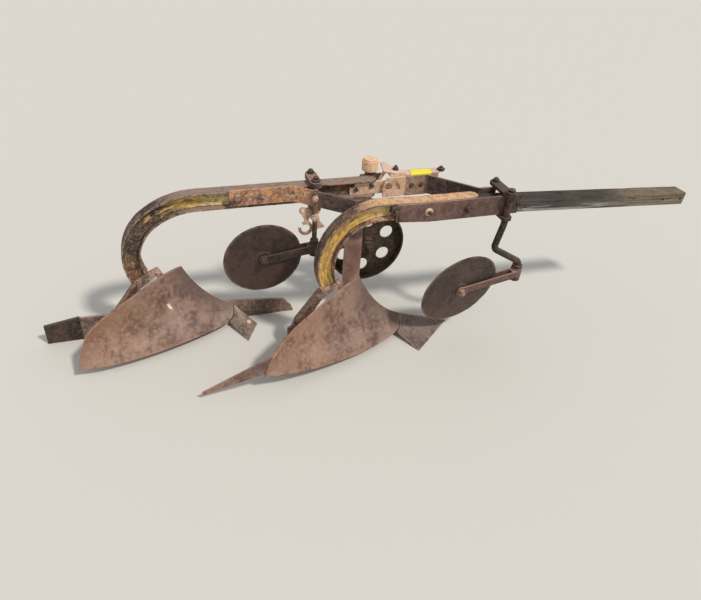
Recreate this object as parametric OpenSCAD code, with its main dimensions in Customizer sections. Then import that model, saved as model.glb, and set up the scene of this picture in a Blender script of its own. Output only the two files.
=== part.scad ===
// Two-furrow moldboard plough with a timber pole, a land wheel and two disc coulters.
// Millimetres. X is the line of travel, Y points to the unploughed land, Z is up.
// The origin is on the sole of the front landside, below the front beam.

/* [Layout] */
// Distance from the front body to the rear body along the line of travel
body_gap = 743; // [700:5:800]
// Width of one furrow, which is the distance between the two beams
furrow = 254; // [230:2:290]
// Distance from the landside to the beam's web, towards the furrow
web_offset = 22; // [18:1:28]

/* [Beams] */
// Height of the beams' top above the sole
beam_top = 692; // [660:2:720]
// Depth of the rolled section
beam_depth = 100; // [90:1:110]
// Width of the flanges
flange_w = 65; // [56:1:72]
// Thickness of a flange at its edge
flange_edge = 8; // [6:0.5:10]
// Thickness of a flange at the web
flange_root = 13; // [11:0.5:15]
// Thickness of the web
web_t = 9; // [7:0.5:12]
// Radius of the upper bend, to the outside of the section
bend_r = 222; // [210:1:240]
// Radius of the lower sweep, to the outside of the section
sweep_r = 400; // [370:5:440]
// Angle of the lower sweep
sweep_angle = 25; // [20:0.5:28]
// Where the upper bend starts, from the origin of its body
bend_x = -80; // [-90:1:-70]
// Front end of the near beam
near_end_x = 424; // [400:2:440]
// Front end of the far beam
far_end_x = 53; // [30:1:80]

/* [Plates] */
// Thickness of the side plates and braces
plate_t = 10; // [8:0.5:12]
// Height of the near side plate
near_plate_h = 88; // [80:1:94]
// Rear end of the near side plate
near_plate_x = 40; // [20:1:60]
// Front end of the near side plate, at its top
near_plate_end = 632; // [620:2:650]
// Height of the rear brace
brace_h = 70; // [60:1:80]
// Rear end of the rear brace, on the far beam
brace_x = -599; // [-620:1:-580]
// Where the rear brace leaves the far beam
brace_bend_x = -330; // [-345:1:-315]
// Rear end of the front brace's flat foot on the channel
front_brace_x = 185; // [175:1:200]
// Where the front brace leaves the channel
front_brace_bend = 290; // [275:1:305]
// Where the front brace meets the pole
front_brace_join = 462; // [450:1:475]
// Front end of the front brace, on the pole
front_brace_end = 545; // [530:1:550]
// Rear end of the channel ahead of the far beam
channel_x = 115; // [105:1:125]
// Front end of the channel, at its web
channel_end = 345; // [335:1:360]
// Thickness of the channel's web
channel_t = 8; // [6:0.5:10]
// Depth of the channel
channel_h = 104; // [96:1:105]
// Width of the channel's flanges
channel_w = 50; // [40:1:60]

/* [Pole] */
// Width of the timber pole
pole_w = 80; // [70:1:90]
// Height of the timber pole
pole_h = 63; // [55:1:70]
// Rear end of the pole
pole_x = 430; // [426:1:440]
// Length of the pole
pole_len = 1146; // [1000:2:1300]
// Droop of the pole
pole_droop = 3; // [2:0.25:4]
// Depth of the pole's centre below the beams' top, at its rear end
pole_below = 50; // [44:1:54]
// Radius of the two hitch holes
hitch_r = 7; // [6:0.5:8]
// Distance from the pole's front end to the first hitch hole
hitch_end = 26; // [22:1:40]
// Distance between the hitch holes
hitch_gap = 108; // [90:1:130]

/* [Soil parts] */
// Thickness of the moldboards
board_t = 8; // [6:0.5:10]
// Thickness of the landsides
landside_t = 12; // [10:0.5:14]
// Height of the landsides at the rear
landside_h = 116; // [105:1:125]
// Reach of the front share's point ahead of its body's origin
front_point = 400; // [380:5:420]
// Reach of the rear share's worn point ahead of its body's origin
rear_point = 240; // [220:5:260]
// Reach of the rear landside's bare point ahead of its body's origin
rear_land_point = 430; // [400:5:450]
// Rear end of the front landside, from the origin of its body
front_landside_x = -400; // [-420:2:-380]
// Rear end of the rear landside, from the origin of its body
rear_landside_x = -675; // [-700:5:-650]
// Length of the heel piece on the rear landside
heel_len = 148; // [130:1:160]
// Thickness of the frogs
frog_t = 16; // [12:0.5:18]
// Width of the flange along the back of a frog
frog_flange = 34; // [28:1:40]

/* [Land wheel] */
// Radius of the wheel
wheel_r = 195; // [185:1:205]
// Width of the rim
rim_w = 64; // [56:1:72]
// Thickness of the rim
rim_t = 9; // [7:0.5:11]
// Thickness of the wheel's disc
disc_web = 8; // [6:0.5:10]
// Radius of the circle of holes
hole_circle = 121; // [116:1:124]
// Radius of each hole
hole_r = 33; // [28:0.5:36]
// Radius of the axle
axle_r = 16; // [14:0.5:18]
// Clearance between the axle and its hub, on the radius
axle_gap = 0.08; // [0.05:0.01:0.1]
// Wheel centre along the line of travel
wheel_x = 70; // [60:1:90]
// Wheel centre's height above the sole
wheel_z = 287; // [280:1:300]
// Length of the hub, from the wheel's middle to each end
hub_half = 38; // [34:1:42]
// Radius of the wheel's post
post_r = 42; // [38:0.5:44]
// Thickness of the post's wall
post_wall = 6; // [4:0.5:8]
// Centre of the post along the line of travel
post_x = -30; // [-40:1:-20]

/* [Coulters] */
// Radius of the front coulter's disc
front_disc_r = 195; // [188:1:200]
// Radius of the rear coulter's disc
rear_disc_r = 178; // [170:1:184]
// Thickness of the coulter discs
coulter_t = 5; // [4:0.5:6]
// Radius of the front coulter's stem
stem_r = 15; // [13:0.5:17]
// Radius of the rear coulter's stem
rear_stem_r = 11; // [10:0.5:13]
// Distance that the front disc's centre trails behind its pivot
front_trail = 317; // [308:1:325]
// Distance that the rear disc's centre trails behind its pivot
rear_trail = 235; // [228:1:245]
// Height of the front pivot above the disc's centre
front_drop = 58; // [52:1:64]
// Height of the rear pivot above the disc's centre
rear_drop = 58; // [52:1:64]
// Height of the front disc's centre
front_disc_z = 272; // [266:1:278]
// Distance from the beams' underside down to the rear coulter's pivot
rear_hang = 172; // [168:1:185]
// Front coulter's stem along the line of travel
front_stem_x = 552; // [545:1:562]
// How far the front stem's foot is bent forwards
front_kick = 128; // [120:1:132]
// How far the front stem's elbow stands behind its clamp
front_elbow = 24; // [10:1:30]
// Rear coulter's stem along the line of travel
rear_stem_x = -234; // [-244:1:-224]
// Turn of the front coulter about its stem, as it stands
front_turn = 7.5; // [4:0.5:9]
// Lean of the front disc in its bent yoke, top towards the furrow
front_lean = 10.5; // [6:0.5:12]
// Lean of the rear disc in its bent yoke, top towards the furrow
rear_lean = 5; // [0:0.5:8]
// Turn of the rear coulter about its stem, as it stands
rear_turn = 2.5; // [0:0.5:6]

/* [Hidden] */
$fn = 64;
seat = 0.3;                                  // gap between pieces that only rest on each other
near_web = -web_offset;
far_web = furrow - web_offset;
near_side = near_web - flange_w / 2;         // furrow side of the near beam
near_back = near_web + flange_w / 2;         // land side of the near beam
far_side = far_web - flange_w / 2;
far_back = far_web + flange_w / 2;
edge_y = -landside_t / 2 - seat;             // landside edge of the boards and shares
beam_foot_z = beam_top - beam_depth;         // underside of the beams
channel_top = beam_top + 6;
channel_foot = channel_top - channel_h;
splice_y = far_web - web_t / 2 - seat - plate_t;   // near face of the splice bar, in the far beam's recess
channel_y = splice_y - seat - channel_t;     // near face of the channel
fish_y = channel_y - seat - plate_t;         // near face of the plates bolted on the channel
pole_z = beam_top - pole_below;

// Places the children on the front body (0) or the rear body (1).
module on_body(n) translate([-n * body_gap, n * furrow, 0]) children();

// Half outline of the rolled section, swept or extruded.
module i_section() {
    h = beam_depth / 2;
    w = flange_w / 2;
    polygon([[-h, -w], [-h + flange_edge, -w], [-h + flange_root, -web_t / 2], [h - flange_root, -web_t / 2],
        [h - flange_edge, -w], [h, -w], [h, w], [h - flange_edge, w], [h - flange_root, web_t / 2],
        [-h + flange_root, web_t / 2], [-h + flange_edge, w], [-h, w]]);
}

// An arc of the beam about a centre in the XZ plane, from a start angle over a turn.
module beam_arc(x, z, r, start, turn)
    translate([x, 0, z]) rotate([90, 0, 0]) rotate([0, 0, start])
        rotate_extrude(angle = turn, $fn = 128) translate([r - beam_depth / 2, 0]) i_section();

module beam(end_x) {
    union() {
        intersection() {
            translate([bend_x, 0, beam_top - beam_depth / 2]) rotate([90, 0, 90])
                linear_extrude(end_x - bend_x) rotate(90) i_section();
            union() {
                translate([bend_x - 1, -flange_w, 0])
                    cube([end_x - bend_x + 1 - flange_w / 2, 2 * flange_w, 1000]);
                translate([end_x - flange_w / 2, 0, 0]) cylinder(r = flange_w / 2, h = 1000);
            }
        }
        beam_arc(bend_x, beam_top - bend_r, bend_r, 90, 90);
        beam_arc(bend_x - bend_r + sweep_r, beam_top - bend_r, sweep_r, 180, sweep_angle);
    }
}

module near_beam() color("peru") translate([0, near_web, 0]) beam(near_end_x);
module far_beam() color("peru") on_body(1) translate([0, near_web, 0]) beam(far_end_x + body_gap);

// A flat bar bent in plan: points are [x, y] of its middle line.
function unit(v) = v / norm(v);
function side_of(a, b) = let (d = unit(b - a)) [-d[1], d[0]];
function miter(p, i, t) = let (
    a = i > 0 ? side_of(p[i - 1], p[i]) : side_of(p[0], p[1]),
    b = i < len(p) - 1 ? side_of(p[i], p[i + 1]) : a,
    m = unit(a + b)) p[i] + m * t / (m * a);
module bent_bar(p, t, z, h)
    translate([0, 0, z]) linear_extrude(h)
        polygon(concat([for (i = [0:len(p) - 1]) miter(p, i, t / 2)],
            [for (i = [len(p) - 1:-1:0]) miter(p, i, -t / 2)]));

module near_side_plate() color("sienna")
    translate([0, near_side, 0]) rotate([90, 0, 0]) linear_extrude(plate_t)
        polygon([[near_plate_x, beam_top], [near_plate_end, beam_top],
            [near_plate_end - 20, beam_top - near_plate_h], [near_plate_x + 150, beam_top - near_plate_h],
            [near_plate_x, beam_top - near_plate_h + 12]]);

brace_foot_x = -112;                         // where the rear brace meets the near beam
module rear_brace() color("saddlebrown")
    bent_bar([[brace_x, far_side - plate_t / 2], [brace_bend_x, far_side - plate_t / 2],
        [brace_foot_x, near_back + plate_t / 2], [brace_foot_x + 80, near_back + plate_t / 2]],
        plate_t, beam_top - brace_h, brace_h);

pole_back = near_side + pole_w;              // land side of the pole
module front_brace() color("maroon")
    bent_bar([[front_brace_x, fish_y + plate_t / 2], [front_brace_bend, fish_y + plate_t / 2],
        [front_brace_join, pole_back + plate_t / 2], [front_brace_end, pole_back + plate_t / 2]],
        plate_t, beam_top - near_plate_h, near_plate_h);

// Channel ahead of the far beam, open to the land side, its front end cut on the slant.
module far_channel() color("rosybrown")
    translate([channel_x, channel_y, channel_foot]) intersection() {
        run = channel_end - channel_x;
        difference() {
            cube([run + channel_w, channel_w, channel_h]);
            translate([-1, channel_t, 9]) cube([run + channel_w + 2, channel_w, channel_h - 18]);
        }
        translate([0, 0, -1]) linear_extrude(channel_h + 2)
            polygon([[0, -1], [run, -1], [run + channel_w, channel_w + 1], [0, channel_w + 1]]);
    }

// Fish plate on the channel's rear end, with a round hole and a pear-shaped one.
module channel_gusset() color("sienna")
    translate([0, fish_y + plate_t, 0]) rotate([90, 0, 0]) linear_extrude(plate_t)
        translate([channel_x, channel_foot]) difference() {
            high = beam_top - 2 - channel_foot;
            end = front_brace_x - seat - channel_x;
            polygon([[-33, 6], [-37, 44], [-30, high - 18], [-15, high], [end, high], [end, 6]]);
            translate([-11, 56]) circle(r = 18);
            translate([34, 48]) circle(r = 14);
            polygon([[21, 53], [26, 82], [45, 57]]);
        }

// Straight bar that joins the channel to the far beam, in the recess beside the beam's web.
splice_h = 60;
splice_x = -70;
module channel_splice() color("tan")
    translate([splice_x, splice_y, beam_top - beam_depth / 2 - splice_h / 2])
        cube([front_brace_x + 40 - splice_x, plate_t, splice_h]);

// Cleat that lies on the channel's top flange and reaches out to the land side.
cleat_t = 8;
cleat_x = channel_x - 23;
cleat_z = channel_top + seat;
module channel_cleat() color("rosybrown")
    translate([channel_x, channel_y, cleat_z]) linear_extrude(cleat_t)
        polygon([[-23, 32], [20, 1], [front_brace_x - channel_x, 1], [45, channel_w], [20, 130], [-3, 130]]);

// Slanting strap from the far beam's lower flange up to the cleat.
strap_t = 12;
strap_y = far_back - 16;
module cross_bar() color("burlywood")
    translate([0, strap_y + strap_t, 0]) rotate([90, 0, 0]) linear_extrude(strap_t)
        polygon([[far_end_x - 22, beam_foot_z + flange_root], [far_end_x - 6, beam_foot_z + flange_root],
            [cleat_x + 18, cleat_z - seat], [cleat_x + 3, cleat_z - seat]]);

function pole_under(x) = pole_z - (x - pole_x) * tan(pole_droop) - pole_h / 2 / cos(pole_droop);
module pole() color("gray")
    translate([pole_x, near_side, pole_z]) rotate([0, pole_droop, 0]) difference() {
        translate([0, 0, -pole_h / 2]) cube([pole_len, pole_w, pole_h]);
        for (k = [0, 1])
            translate([pole_len - hitch_end - k * hitch_gap, -1, 0]) rotate([-90, 0, 0])
                cylinder(r = hitch_r, h = pole_w + 2);
    }

post_foot = 120;
module wheel_post() color("saddlebrown") translate([post_x, far_web, 0]) {
    translate([0, 0, post_foot]) difference() {
        cylinder(r = post_r, h = beam_foot_z - post_foot);
        translate([0, 0, -1]) cylinder(r = post_r - post_wall, h = beam_foot_z - post_foot - 9);
    }
    translate([-60, -flange_w / 2, beam_foot_z - 10]) difference() {
        cube([120, flange_w, 10]);
        translate([60, flange_w / 2, -1]) cylinder(r = post_r - 1, h = 12);
    }
}

// Axle arm: a saddle behind the post, a plate and the stub axle.
arm_y = far_web + post_r + 2;
arm_t = 20;
arm_h = 34;
hub_start = arm_y + arm_t + 5;
wheel_y = hub_start + hub_half;              // middle of the rim
module wheel_arm() color("dimgray") {
    difference() {
        union() {
            translate([post_x - 20, far_web + 14, wheel_z - arm_h])
                cube([post_r + 16, post_r - 8, 2 * arm_h]);
            translate([0, arm_y + arm_t, wheel_z]) rotate([90, 0, 0]) linear_extrude(arm_t) {
                translate([post_x - 20, -arm_h]) square([wheel_x - post_x + 20, 2 * arm_h]);
                translate([wheel_x, 0]) circle(r = arm_h);
            }
        }
        translate([post_x, far_web, 0]) cylinder(r = post_r + seat, h = 1000);
    }
    translate([wheel_x, arm_y + arm_t - 1, wheel_z]) rotate([-90, 0, 0]) {
        cylinder(r = axle_r, h = 1 + 5 + 2 * hub_half + 4);
        translate([0, 0, 1 + 5 + 2 * hub_half + 2]) cylinder(r = 24, h = 8);
    }
}

// Screw that sets the wheel's height, from the axle arm up through the channel, with its round cap.
screw_x = 42;
screw_y = arm_y + arm_t / 2;
screw_r = 11;
cap_r = 37;
cap_h = 44;
crown_r = 30;
crown_h = 8;
module lift_screw() color("chocolate") translate([screw_x, screw_y, 0]) {
    translate([0, 0, wheel_z + arm_h + seat])
        cylinder(r = screw_r, h = channel_top + cap_h + crown_h - 2 - wheel_z - arm_h);
    translate([0, 0, channel_top + seat]) cylinder(r = cap_r, h = cap_h);
    translate([0, 0, channel_top + seat + cap_h]) cylinder(r = crown_r, h = crown_h);
}

// Bracket on the far beam's back that guides the screw and carries its cap.
nose_r = screw_y - far_back - seat;
bracket_w = 100;
bracket_edge = 6;
module screw_bracket() color("saddlebrown") difference() {
    union() {
        translate([screw_x - bracket_w / 2, far_back + seat, beam_foot_z + bracket_edge])
            cube([bracket_w, plate_t, beam_depth - 2 * bracket_edge]);
        translate([screw_x - nose_r, far_back + seat, channel_top - cap_h])
            cube([2 * nose_r, nose_r, cap_h]);
        translate([screw_x, screw_y, channel_top - cap_h]) cylinder(r = nose_r, h = cap_h);
    }
    translate([screw_x, screw_y, beam_foot_z]) cylinder(r = screw_r + seat, h = beam_depth + 10);
}

module land_wheel() color("olive")
    translate([wheel_x, wheel_y, wheel_z]) rotate([90, 0, 0]) difference() {
        rotate_extrude($fn = 128) {
            translate([wheel_r - rim_t, -rim_w / 2]) square([rim_t, rim_w]);
            translate([axle_r + axle_gap, -disc_web / 2]) square([wheel_r - rim_t / 2 - axle_r, disc_web]);
            translate([axle_r + axle_gap, -hub_half]) square([24, 2 * hub_half]);
        }
        for (k = [0:5])
            rotate(-34.7 + k * 60) translate([hole_circle, 0, -20]) cylinder(r = hole_r, h = 40);
    }

// Curved sheets: a surface P(u, v) on a grid, thickened along its normal.
function cat(p0, p1, p2, p3, t) = 0.5 * (2 * p1 + (p2 - p0) * t + (2 * p0 - 5 * p1 + 4 * p2 - p3) * t * t
    + (3 * p1 - p0 - 3 * p2 + p3) * t * t * t);
// Smooth curve through the points p, with t from 0 to 1.
function along(p, t) = let (n = len(p) - 1, s = min(t * n, n - 0.00001), i = floor(s), f = s - i)
    cat(p[max(i - 1, 0)], p[i], p[i + 1], p[min(i + 2, n)], f);

// For the front and the rear board: x, y and z of points on the edge, from the shin to the tail.
board_foot = [
    [[141, 0, 87], [112, -58, 34], [-62, -155, 38], [-265, -225, 52], [-440, -266, 72], [-560, -276, 90]],
    [[141, 0, 87], [112, -58, 34], [-62, -155, 38], [-265, -225, 38], [-430, -262, 42], [-532, -270, 56]]];
board_head = [
    [[-74, 0, 328], [-135, -26, 318], [-205, -58, 294], [-300, -100, 256],
        [-420, -168, 214], [-515, -255, 162]],
    [[-74, 0, 328], [-135, -26, 318], [-205, -58, 294], [-300, -100, 256],
        [-410, -162, 218], [-478, -223, 187]]];
// Grid of a board's sheet: columns from the shin to the tail, rows from the foot to the head.
board_cols = 18;
board_rows = 9;
// Hollow of the board's face, from the shin to the tail.
board_hollow = [30, 38, 42, 36, 22, 8];

function board_at(n, u, v) = let (
    a = along(board_foot[n], u),
    b = along(board_head[n], u),
    h = along([for (x = board_hollow) [x, 0, 0]], u)[0],
    d = unit([-0.5, 0.55 * min(u * 3, 1), -0.67])) a + (b - a) * v + d * 4 * v * (1 - v) * h;
function board_normal(n, u, v) = let (
    e = 0.01, u0 = max(u - e, 0), u1 = min(u + e, 1), v0 = max(v - e, 0), v1 = min(v + e, 1),
    k = min(u * 8, 1),
    c = unit(cross(board_at(n, u1, v) - board_at(n, u0, v), board_at(n, u, v1) - board_at(n, u, v0))))
    unit([c[0], c[1] * k, c[2]]);
function board_face(n, u, v) = board_at(n, u, v) + [0, edge_y, 0];
function board_back(n, u, v, gap) = board_face(n, u, v) + (board_t + gap) * board_normal(n, u, v);
// Where the back of board n, at v, has gone as far as y from the landside: u is halved in on.
function board_u(n, v, y, lo = 0, hi = 1, k = 14) = k == 0 ? (lo + hi) / 2 : let (m = (lo + hi) / 2)
    board_back(n, m, v, 0)[1] > y ? board_u(n, v, y, m, hi, k - 1) : board_u(n, v, y, lo, m, k - 1);

// Joins the grid of front points and the grid of back points into one closed sheet.
module sheet(front, back) {
    nu = len(front);
    nv = len(front[0]);
    pts = concat([for (r = front) for (p = r) p], [for (r = back) for (p = r) p]);
    n = nu * nv;
    function id(i, j) = i * nv + j;
    faces = concat(
        [for (i = [0:nu - 2]) for (j = [0:nv - 2]) each
            [[id(i, j), id(i + 1, j), id(i + 1, j + 1)], [id(i, j), id(i + 1, j + 1), id(i, j + 1)]]],
        [for (i = [0:nu - 2]) for (j = [0:nv - 2]) each
            [[n + id(i, j), n + id(i + 1, j + 1), n + id(i + 1, j)],
                [n + id(i, j), n + id(i, j + 1), n + id(i + 1, j + 1)]]],
        [for (i = [0:nu - 2]) each [[id(i, 0), n + id(i, 0), n + id(i + 1, 0)],
            [id(i, 0), n + id(i + 1, 0), id(i + 1, 0)]]],
        [for (i = [0:nu - 2]) each [[id(i, nv - 1), n + id(i + 1, nv - 1), n + id(i, nv - 1)],
            [id(i, nv - 1), id(i + 1, nv - 1), n + id(i + 1, nv - 1)]]],
        [for (j = [0:nv - 2]) each [[id(0, j), n + id(0, j + 1), n + id(0, j)],
            [id(0, j), id(0, j + 1), n + id(0, j + 1)]]],
        [for (j = [0:nv - 2]) each [[id(nu - 1, j), n + id(nu - 1, j), n + id(nu - 1, j + 1)],
            [id(nu - 1, j), n + id(nu - 1, j + 1), id(nu - 1, j + 1)]]]);
    polyhedron(pts, faces, convexity = 4);
}

module moldboard(n) on_body(n)
    sheet([for (i = [0:board_cols]) [for (j = [0:board_rows])
            board_face(n, i / board_cols, j / board_rows)]],
        [for (i = [0:board_cols]) [for (j = [0:board_rows])
            board_back(n, i / board_cols, j / board_rows, 0)]]);
module front_moldboard() color("brown") moldboard(0);
module rear_moldboard() color("brown") moldboard(1);

// Shares: the rear edge (u = 0) follows the foot of the board, the front edge (u = 1) is straight.
share_t = 10;
wing = [176, -192, 1];
foot_part = 1 / (len(board_foot[0]) - 1);       // part of the board's foot that the share covers
function share_at(point, u, v) = (1 - u) * (board_face(0, foot_part * v, 0) + [2 * seat, 0, -3])
    + u * ((1 - v) * point + v * wing);
module share(point) {
    n = 6;
    top = [for (i = [0:n]) [for (j = [0:n]) share_at(point, i / n, j / n)]];
    sheet([for (i = [0:n]) [for (p = top[i]) p - [0, 0, share_t * (1.05 - i / n)]]], top);
}
module front_share() color("firebrick") share([front_point, edge_y, 1]);
module rear_share() color("firebrick") on_body(1) share([rear_point, -72, 1]);

module landside_bar(p)
    translate([0, landside_t / 2, 0]) rotate([90, 0, 0]) linear_extrude(landside_t) polygon(p);
module front_landside() color("brown")
    landside_bar([[front_landside_x, 0], [front_point - 5, 0], [145, landside_h - 32],
        [100, landside_h - 10], [front_landside_x + 60, landside_h], [front_landside_x, landside_h - 20]]);
module rear_landside() color("brown") on_body(1)
    landside_bar([[rear_landside_x + heel_len, 0], [rear_land_point, 0], [rear_land_point - 10, 30],
        [rear_land_point - 48, landside_h - 39], [rear_land_point - 189, landside_h - 23],
        [100, landside_h - 10], [rear_landside_x + heel_len, landside_h]]);
module rear_heel() color("brown") on_body(1)
    landside_bar([[rear_landside_x, 0], [rear_landside_x + heel_len - seat, 0],
        [rear_landside_x + heel_len - seat, landside_h + 6], [rear_landside_x, landside_h - 20]]);

// Frog: a cast plate between the foot of the beam, the landside and the board's back.
module frog(n, tail_x) on_body(n) {
    a = 180 + sweep_angle;
    cx = bend_x - bend_r + sweep_r;
    cz = beam_top - bend_r;
    foot_out = [cx + sweep_r * cos(a), cz + sweep_r * sin(a)];
    foot_in = [cx + (sweep_r - beam_depth) * cos(a), cz + (sweep_r - beam_depth) * sin(a)];
    d = [sin(sweep_angle), -cos(sweep_angle)] * seat;
    board_side = near_web - frog_t / 2;
    front_line = [for (j = [8:-1:2]) let (v = j / board_rows)
        let (p = board_back(n, board_u(n, v, board_side), v, seat)) [p[0] - seat, p[2]]];
    tail = [tail_x + 25, 150];
    rib = 9;                                 // thickness of the flange along the back
    back_turn = atan2(tail[1] - foot_out[1], tail[0] - foot_out[0]);
    translate([0, near_web + frog_t / 2, 0]) rotate([90, 0, 0]) linear_extrude(frog_t) difference() {
        polygon(concat([foot_out + d, foot_in + d], front_line,
            [[70, 16], [tail_x + 60, 16], [tail_x + 10, 110], tail]));
        polygon([foot_out + [12, -50], foot_in + [-10, -40], [-130, 180], [-60, 90], [tail_x + 120, 72],
            [tail_x + 75, 130]]);
    }
    translate([foot_out[0] + d[0], near_web, foot_out[1] + d[1]]) rotate([0, -back_turn, 0])
        translate([4, -frog_flange / 2, 0.5]) cube([norm(tail - foot_out) - 8, frog_flange, rib]);
    translate([tail_x + 70, near_web, 18]) cube([-tail_x - 70, web_offset - landside_t / 2 - seat, 45]);
}
module front_frog() color("darkred") frog(0, front_landside_x);
module rear_frog() color("darkred") frog(1, front_landside_x);

// Stay: a round rod from a foot on the frog to a foot on the board's back.
stay_r = 9;
stay_u = 0.66;
stay_v = 0.45;
// Turns the children's Z axis to the direction v.
module aim(v) rotate([0, acos(v[2] / norm(v)), atan2(v[1], v[0])]) children();
module stay(k, tail_x) on_body(k) {
    n = board_normal(k, stay_u, stay_v);
    head = board_back(k, stay_u, stay_v, 0.5);
    foot = [tail_x + 50, near_web - frog_t / 2 - seat, 92];
    run = head + 6 * n - foot - [0, -7, 0];
    translate(foot + [-20, -14, -20]) cube([40, 14, 40]);
    translate(foot + [0, -7, 0]) aim(run) cylinder(r = stay_r, h = norm(run));
    translate(head) aim(n) translate([-22, -22, 0]) cube([44, 44, 12]);
}
module front_stay() color("darkred") stay(0, front_landside_x);
module rear_stay() color("darkred") stay(1, front_landside_x);

// Pointed strip behind the tail of the front board: it follows the board's back, then runs on to a tip.
strip_t = 7;
strip_hold = 3;                              // columns of the board that the strip lies on
strip_rows = 4;
strip_cols = 9;
strip_tip = [-806, -262, 28];
function strip_at(i, j) = let (
    p = board_back(0, (board_cols - strip_hold + min(i, strip_hold)) / board_cols,
        (board_rows - strip_rows + j) / board_rows, seat),
    k = max(i - strip_hold, 0) / (strip_cols - strip_hold)) p + (strip_tip + [0, 0, 3 * j] - p) * k;
module tail_strip() color("brown") {
    n = board_normal(0, 0.95, 0.75);
    sheet([for (i = [0:strip_cols]) [for (j = [0:strip_rows]) strip_at(i, j)]],
        [for (i = [0:strip_cols]) [for (j = [0:strip_rows]) strip_at(i, j) + strip_t * n]]);
}

// Coulters: a clamp round the beam, a round stem, a swivelling yoke and a disc.
stem_y_front = near_side - plate_t - stem_r - seat;
stem_y_rear = far_side - rear_stem_r - seat;
clamp_bar = 14;
// Clamp from the stem at y = 0 to a bolt behind the beam, between the heights z0 and z1.
module stem_clamp(back, z0, z1, r) {
    bar = clamp_bar;
    for (z = [z0 - bar - seat, z1 + seat])
        translate([0, 0, z]) difference() {
            union() {
                translate([-25, 0, 0]) cube([50, back, bar]);
                cylinder(r = 25, h = bar);
                translate([0, back, 0]) cylinder(r = 25, h = bar);
            }
            translate([0, 0, -1]) cylinder(r = r + seat, h = bar + 2);
        }
    translate([0, back, z0 - bar - 14]) cylinder(r = 9, h = z1 - z0 + 2 * bar + 28);
}
module front_coulter_clamp() color("saddlebrown") translate([front_stem_x, stem_y_front, 0])
    stem_clamp(pole_back + 26 - stem_y_front,
        min(beam_top - near_plate_h, pole_under(front_stem_x + 25)), beam_top, stem_r);
module rear_coulter_clamp() color("saddlebrown") translate([rear_stem_x, stem_y_rear, 0])
    stem_clamp(far_back + 12 - stem_y_rear, beam_foot_z, beam_top, rear_stem_r);

// Hook plate under the rear clamp, behind the stem: a pointed stop, an open ring and a lug in one outline.
hook_t = 10;
hook_z = beam_foot_z - seat - clamp_bar - seat;
function arc(c, r, from, to, n) = [for (i = [0:n])
    let (a = from + (to - from) * i / n) c + r * [cos(a), sin(a)]];
module drag_hook() color("tan")
    translate([rear_stem_x, far_side + hook_t + seat, hook_z]) rotate([90, 0, 0]) linear_extrude(hook_t) {
        ring = [-37, -99];
        lug = [-50, -12];
        difference() {
            polygon(concat(
                [[-25, 0], [25, 0], [29, -17], [9, -47], [52, -99], [6, -109], [-10, -57], [-22, -44]],
                arc(ring, 33, 66, -188, 24), arc(ring, 20, -188, 122, 24), arc(ring, 33, 122, 100, 2),
                [[-44, -55]], arc(lug, 17, 240, 45, 16)));
            translate(lug) circle(r = 7);
        }
    }

front_pivot_z = front_disc_z + front_drop;
rear_pivot_z = beam_foot_z - rear_hang;
stem_foot = 72;                              // the stems' length below the pivot
module stem_collars(r) {
    translate([0, 0, -stem_foot]) cylinder(r = r + 10, h = 12);
    translate([0, 0, -4]) cylinder(r = r + 8, h = 12);
}
// Arc of radius r in place of the corner p between the points a and b.
function corner(a, p, b, r, n = 6) = let (
    u = unit(a - p), v = unit(b - p), half = acos(u * v) / 2, c = p + unit(u + v) * r / sin(half))
    [for (i = [0:n]) c + r * unit(
        (p + u * r / tan(half) - c) * (1 - i / n) + (p + v * r / tan(half) - c) * i / n)];
// Round bar along the points p, which lie in a plane of constant y, as rings of points.
module round_bar(p, r, sides = 20) {
    n = len(p);
    rings = [for (i = [0:n - 1])
        let (t = unit(p[min(i + 1, n - 1)] - p[max(i - 1, 0)]), across = cross(t, [0, 1, 0]))
        for (k = [0:sides - 1]) let (a = k * 360 / sides) p[i] + r * (cos(a) * across + sin(a) * [0, 1, 0])];
    walls = [for (i = [0:n - 2]) for (k = [0:sides - 1])
        let (a = i * sides + k, b = i * sides + (k + 1) % sides)
        each [[a, b, b + sides], [a, b + sides, a + sides]]];
    polyhedron(rings, concat(walls, [[for (k = [sides - 1:-1:0]) k]],
        [[for (k = [0:sides - 1]) (n - 1) * sides + k]]));
}
// Front stem: down from the clamp, a little backwards to the elbow, then forwards to the upright foot.
module front_coulter_stem() color("saddlebrown") {
    top = [0, 0, beam_top + 36];
    neck = [0, 0, beam_top - near_plate_h - 40];
    elbow = [-front_elbow, 0, front_pivot_z + 112];
    ankle = [front_kick, 0, front_pivot_z + 24];
    foot = [front_kick, 0, front_pivot_z + 2];
    path = concat([top], corner(top, neck, elbow, 80), corner(neck, elbow, ankle, 30),
        corner(elbow, ankle, foot, 24), [foot]);
    translate([front_stem_x, stem_y_front, 0]) round_bar(path, stem_r);
    translate([front_stem_x + front_kick, stem_y_front, front_pivot_z]) {
        translate([0, 0, -stem_foot]) cylinder(r = stem_r, h = stem_foot + 7);
        stem_collars(stem_r);
    }
}
module rear_coulter_stem() color("saddlebrown") translate([rear_stem_x, stem_y_rear, rear_pivot_z]) {
    translate([0, 0, -stem_foot]) cylinder(r = rear_stem_r, h = beam_top + 36 - rear_pivot_z + stem_foot);
    stem_collars(rear_stem_r);
}

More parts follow.
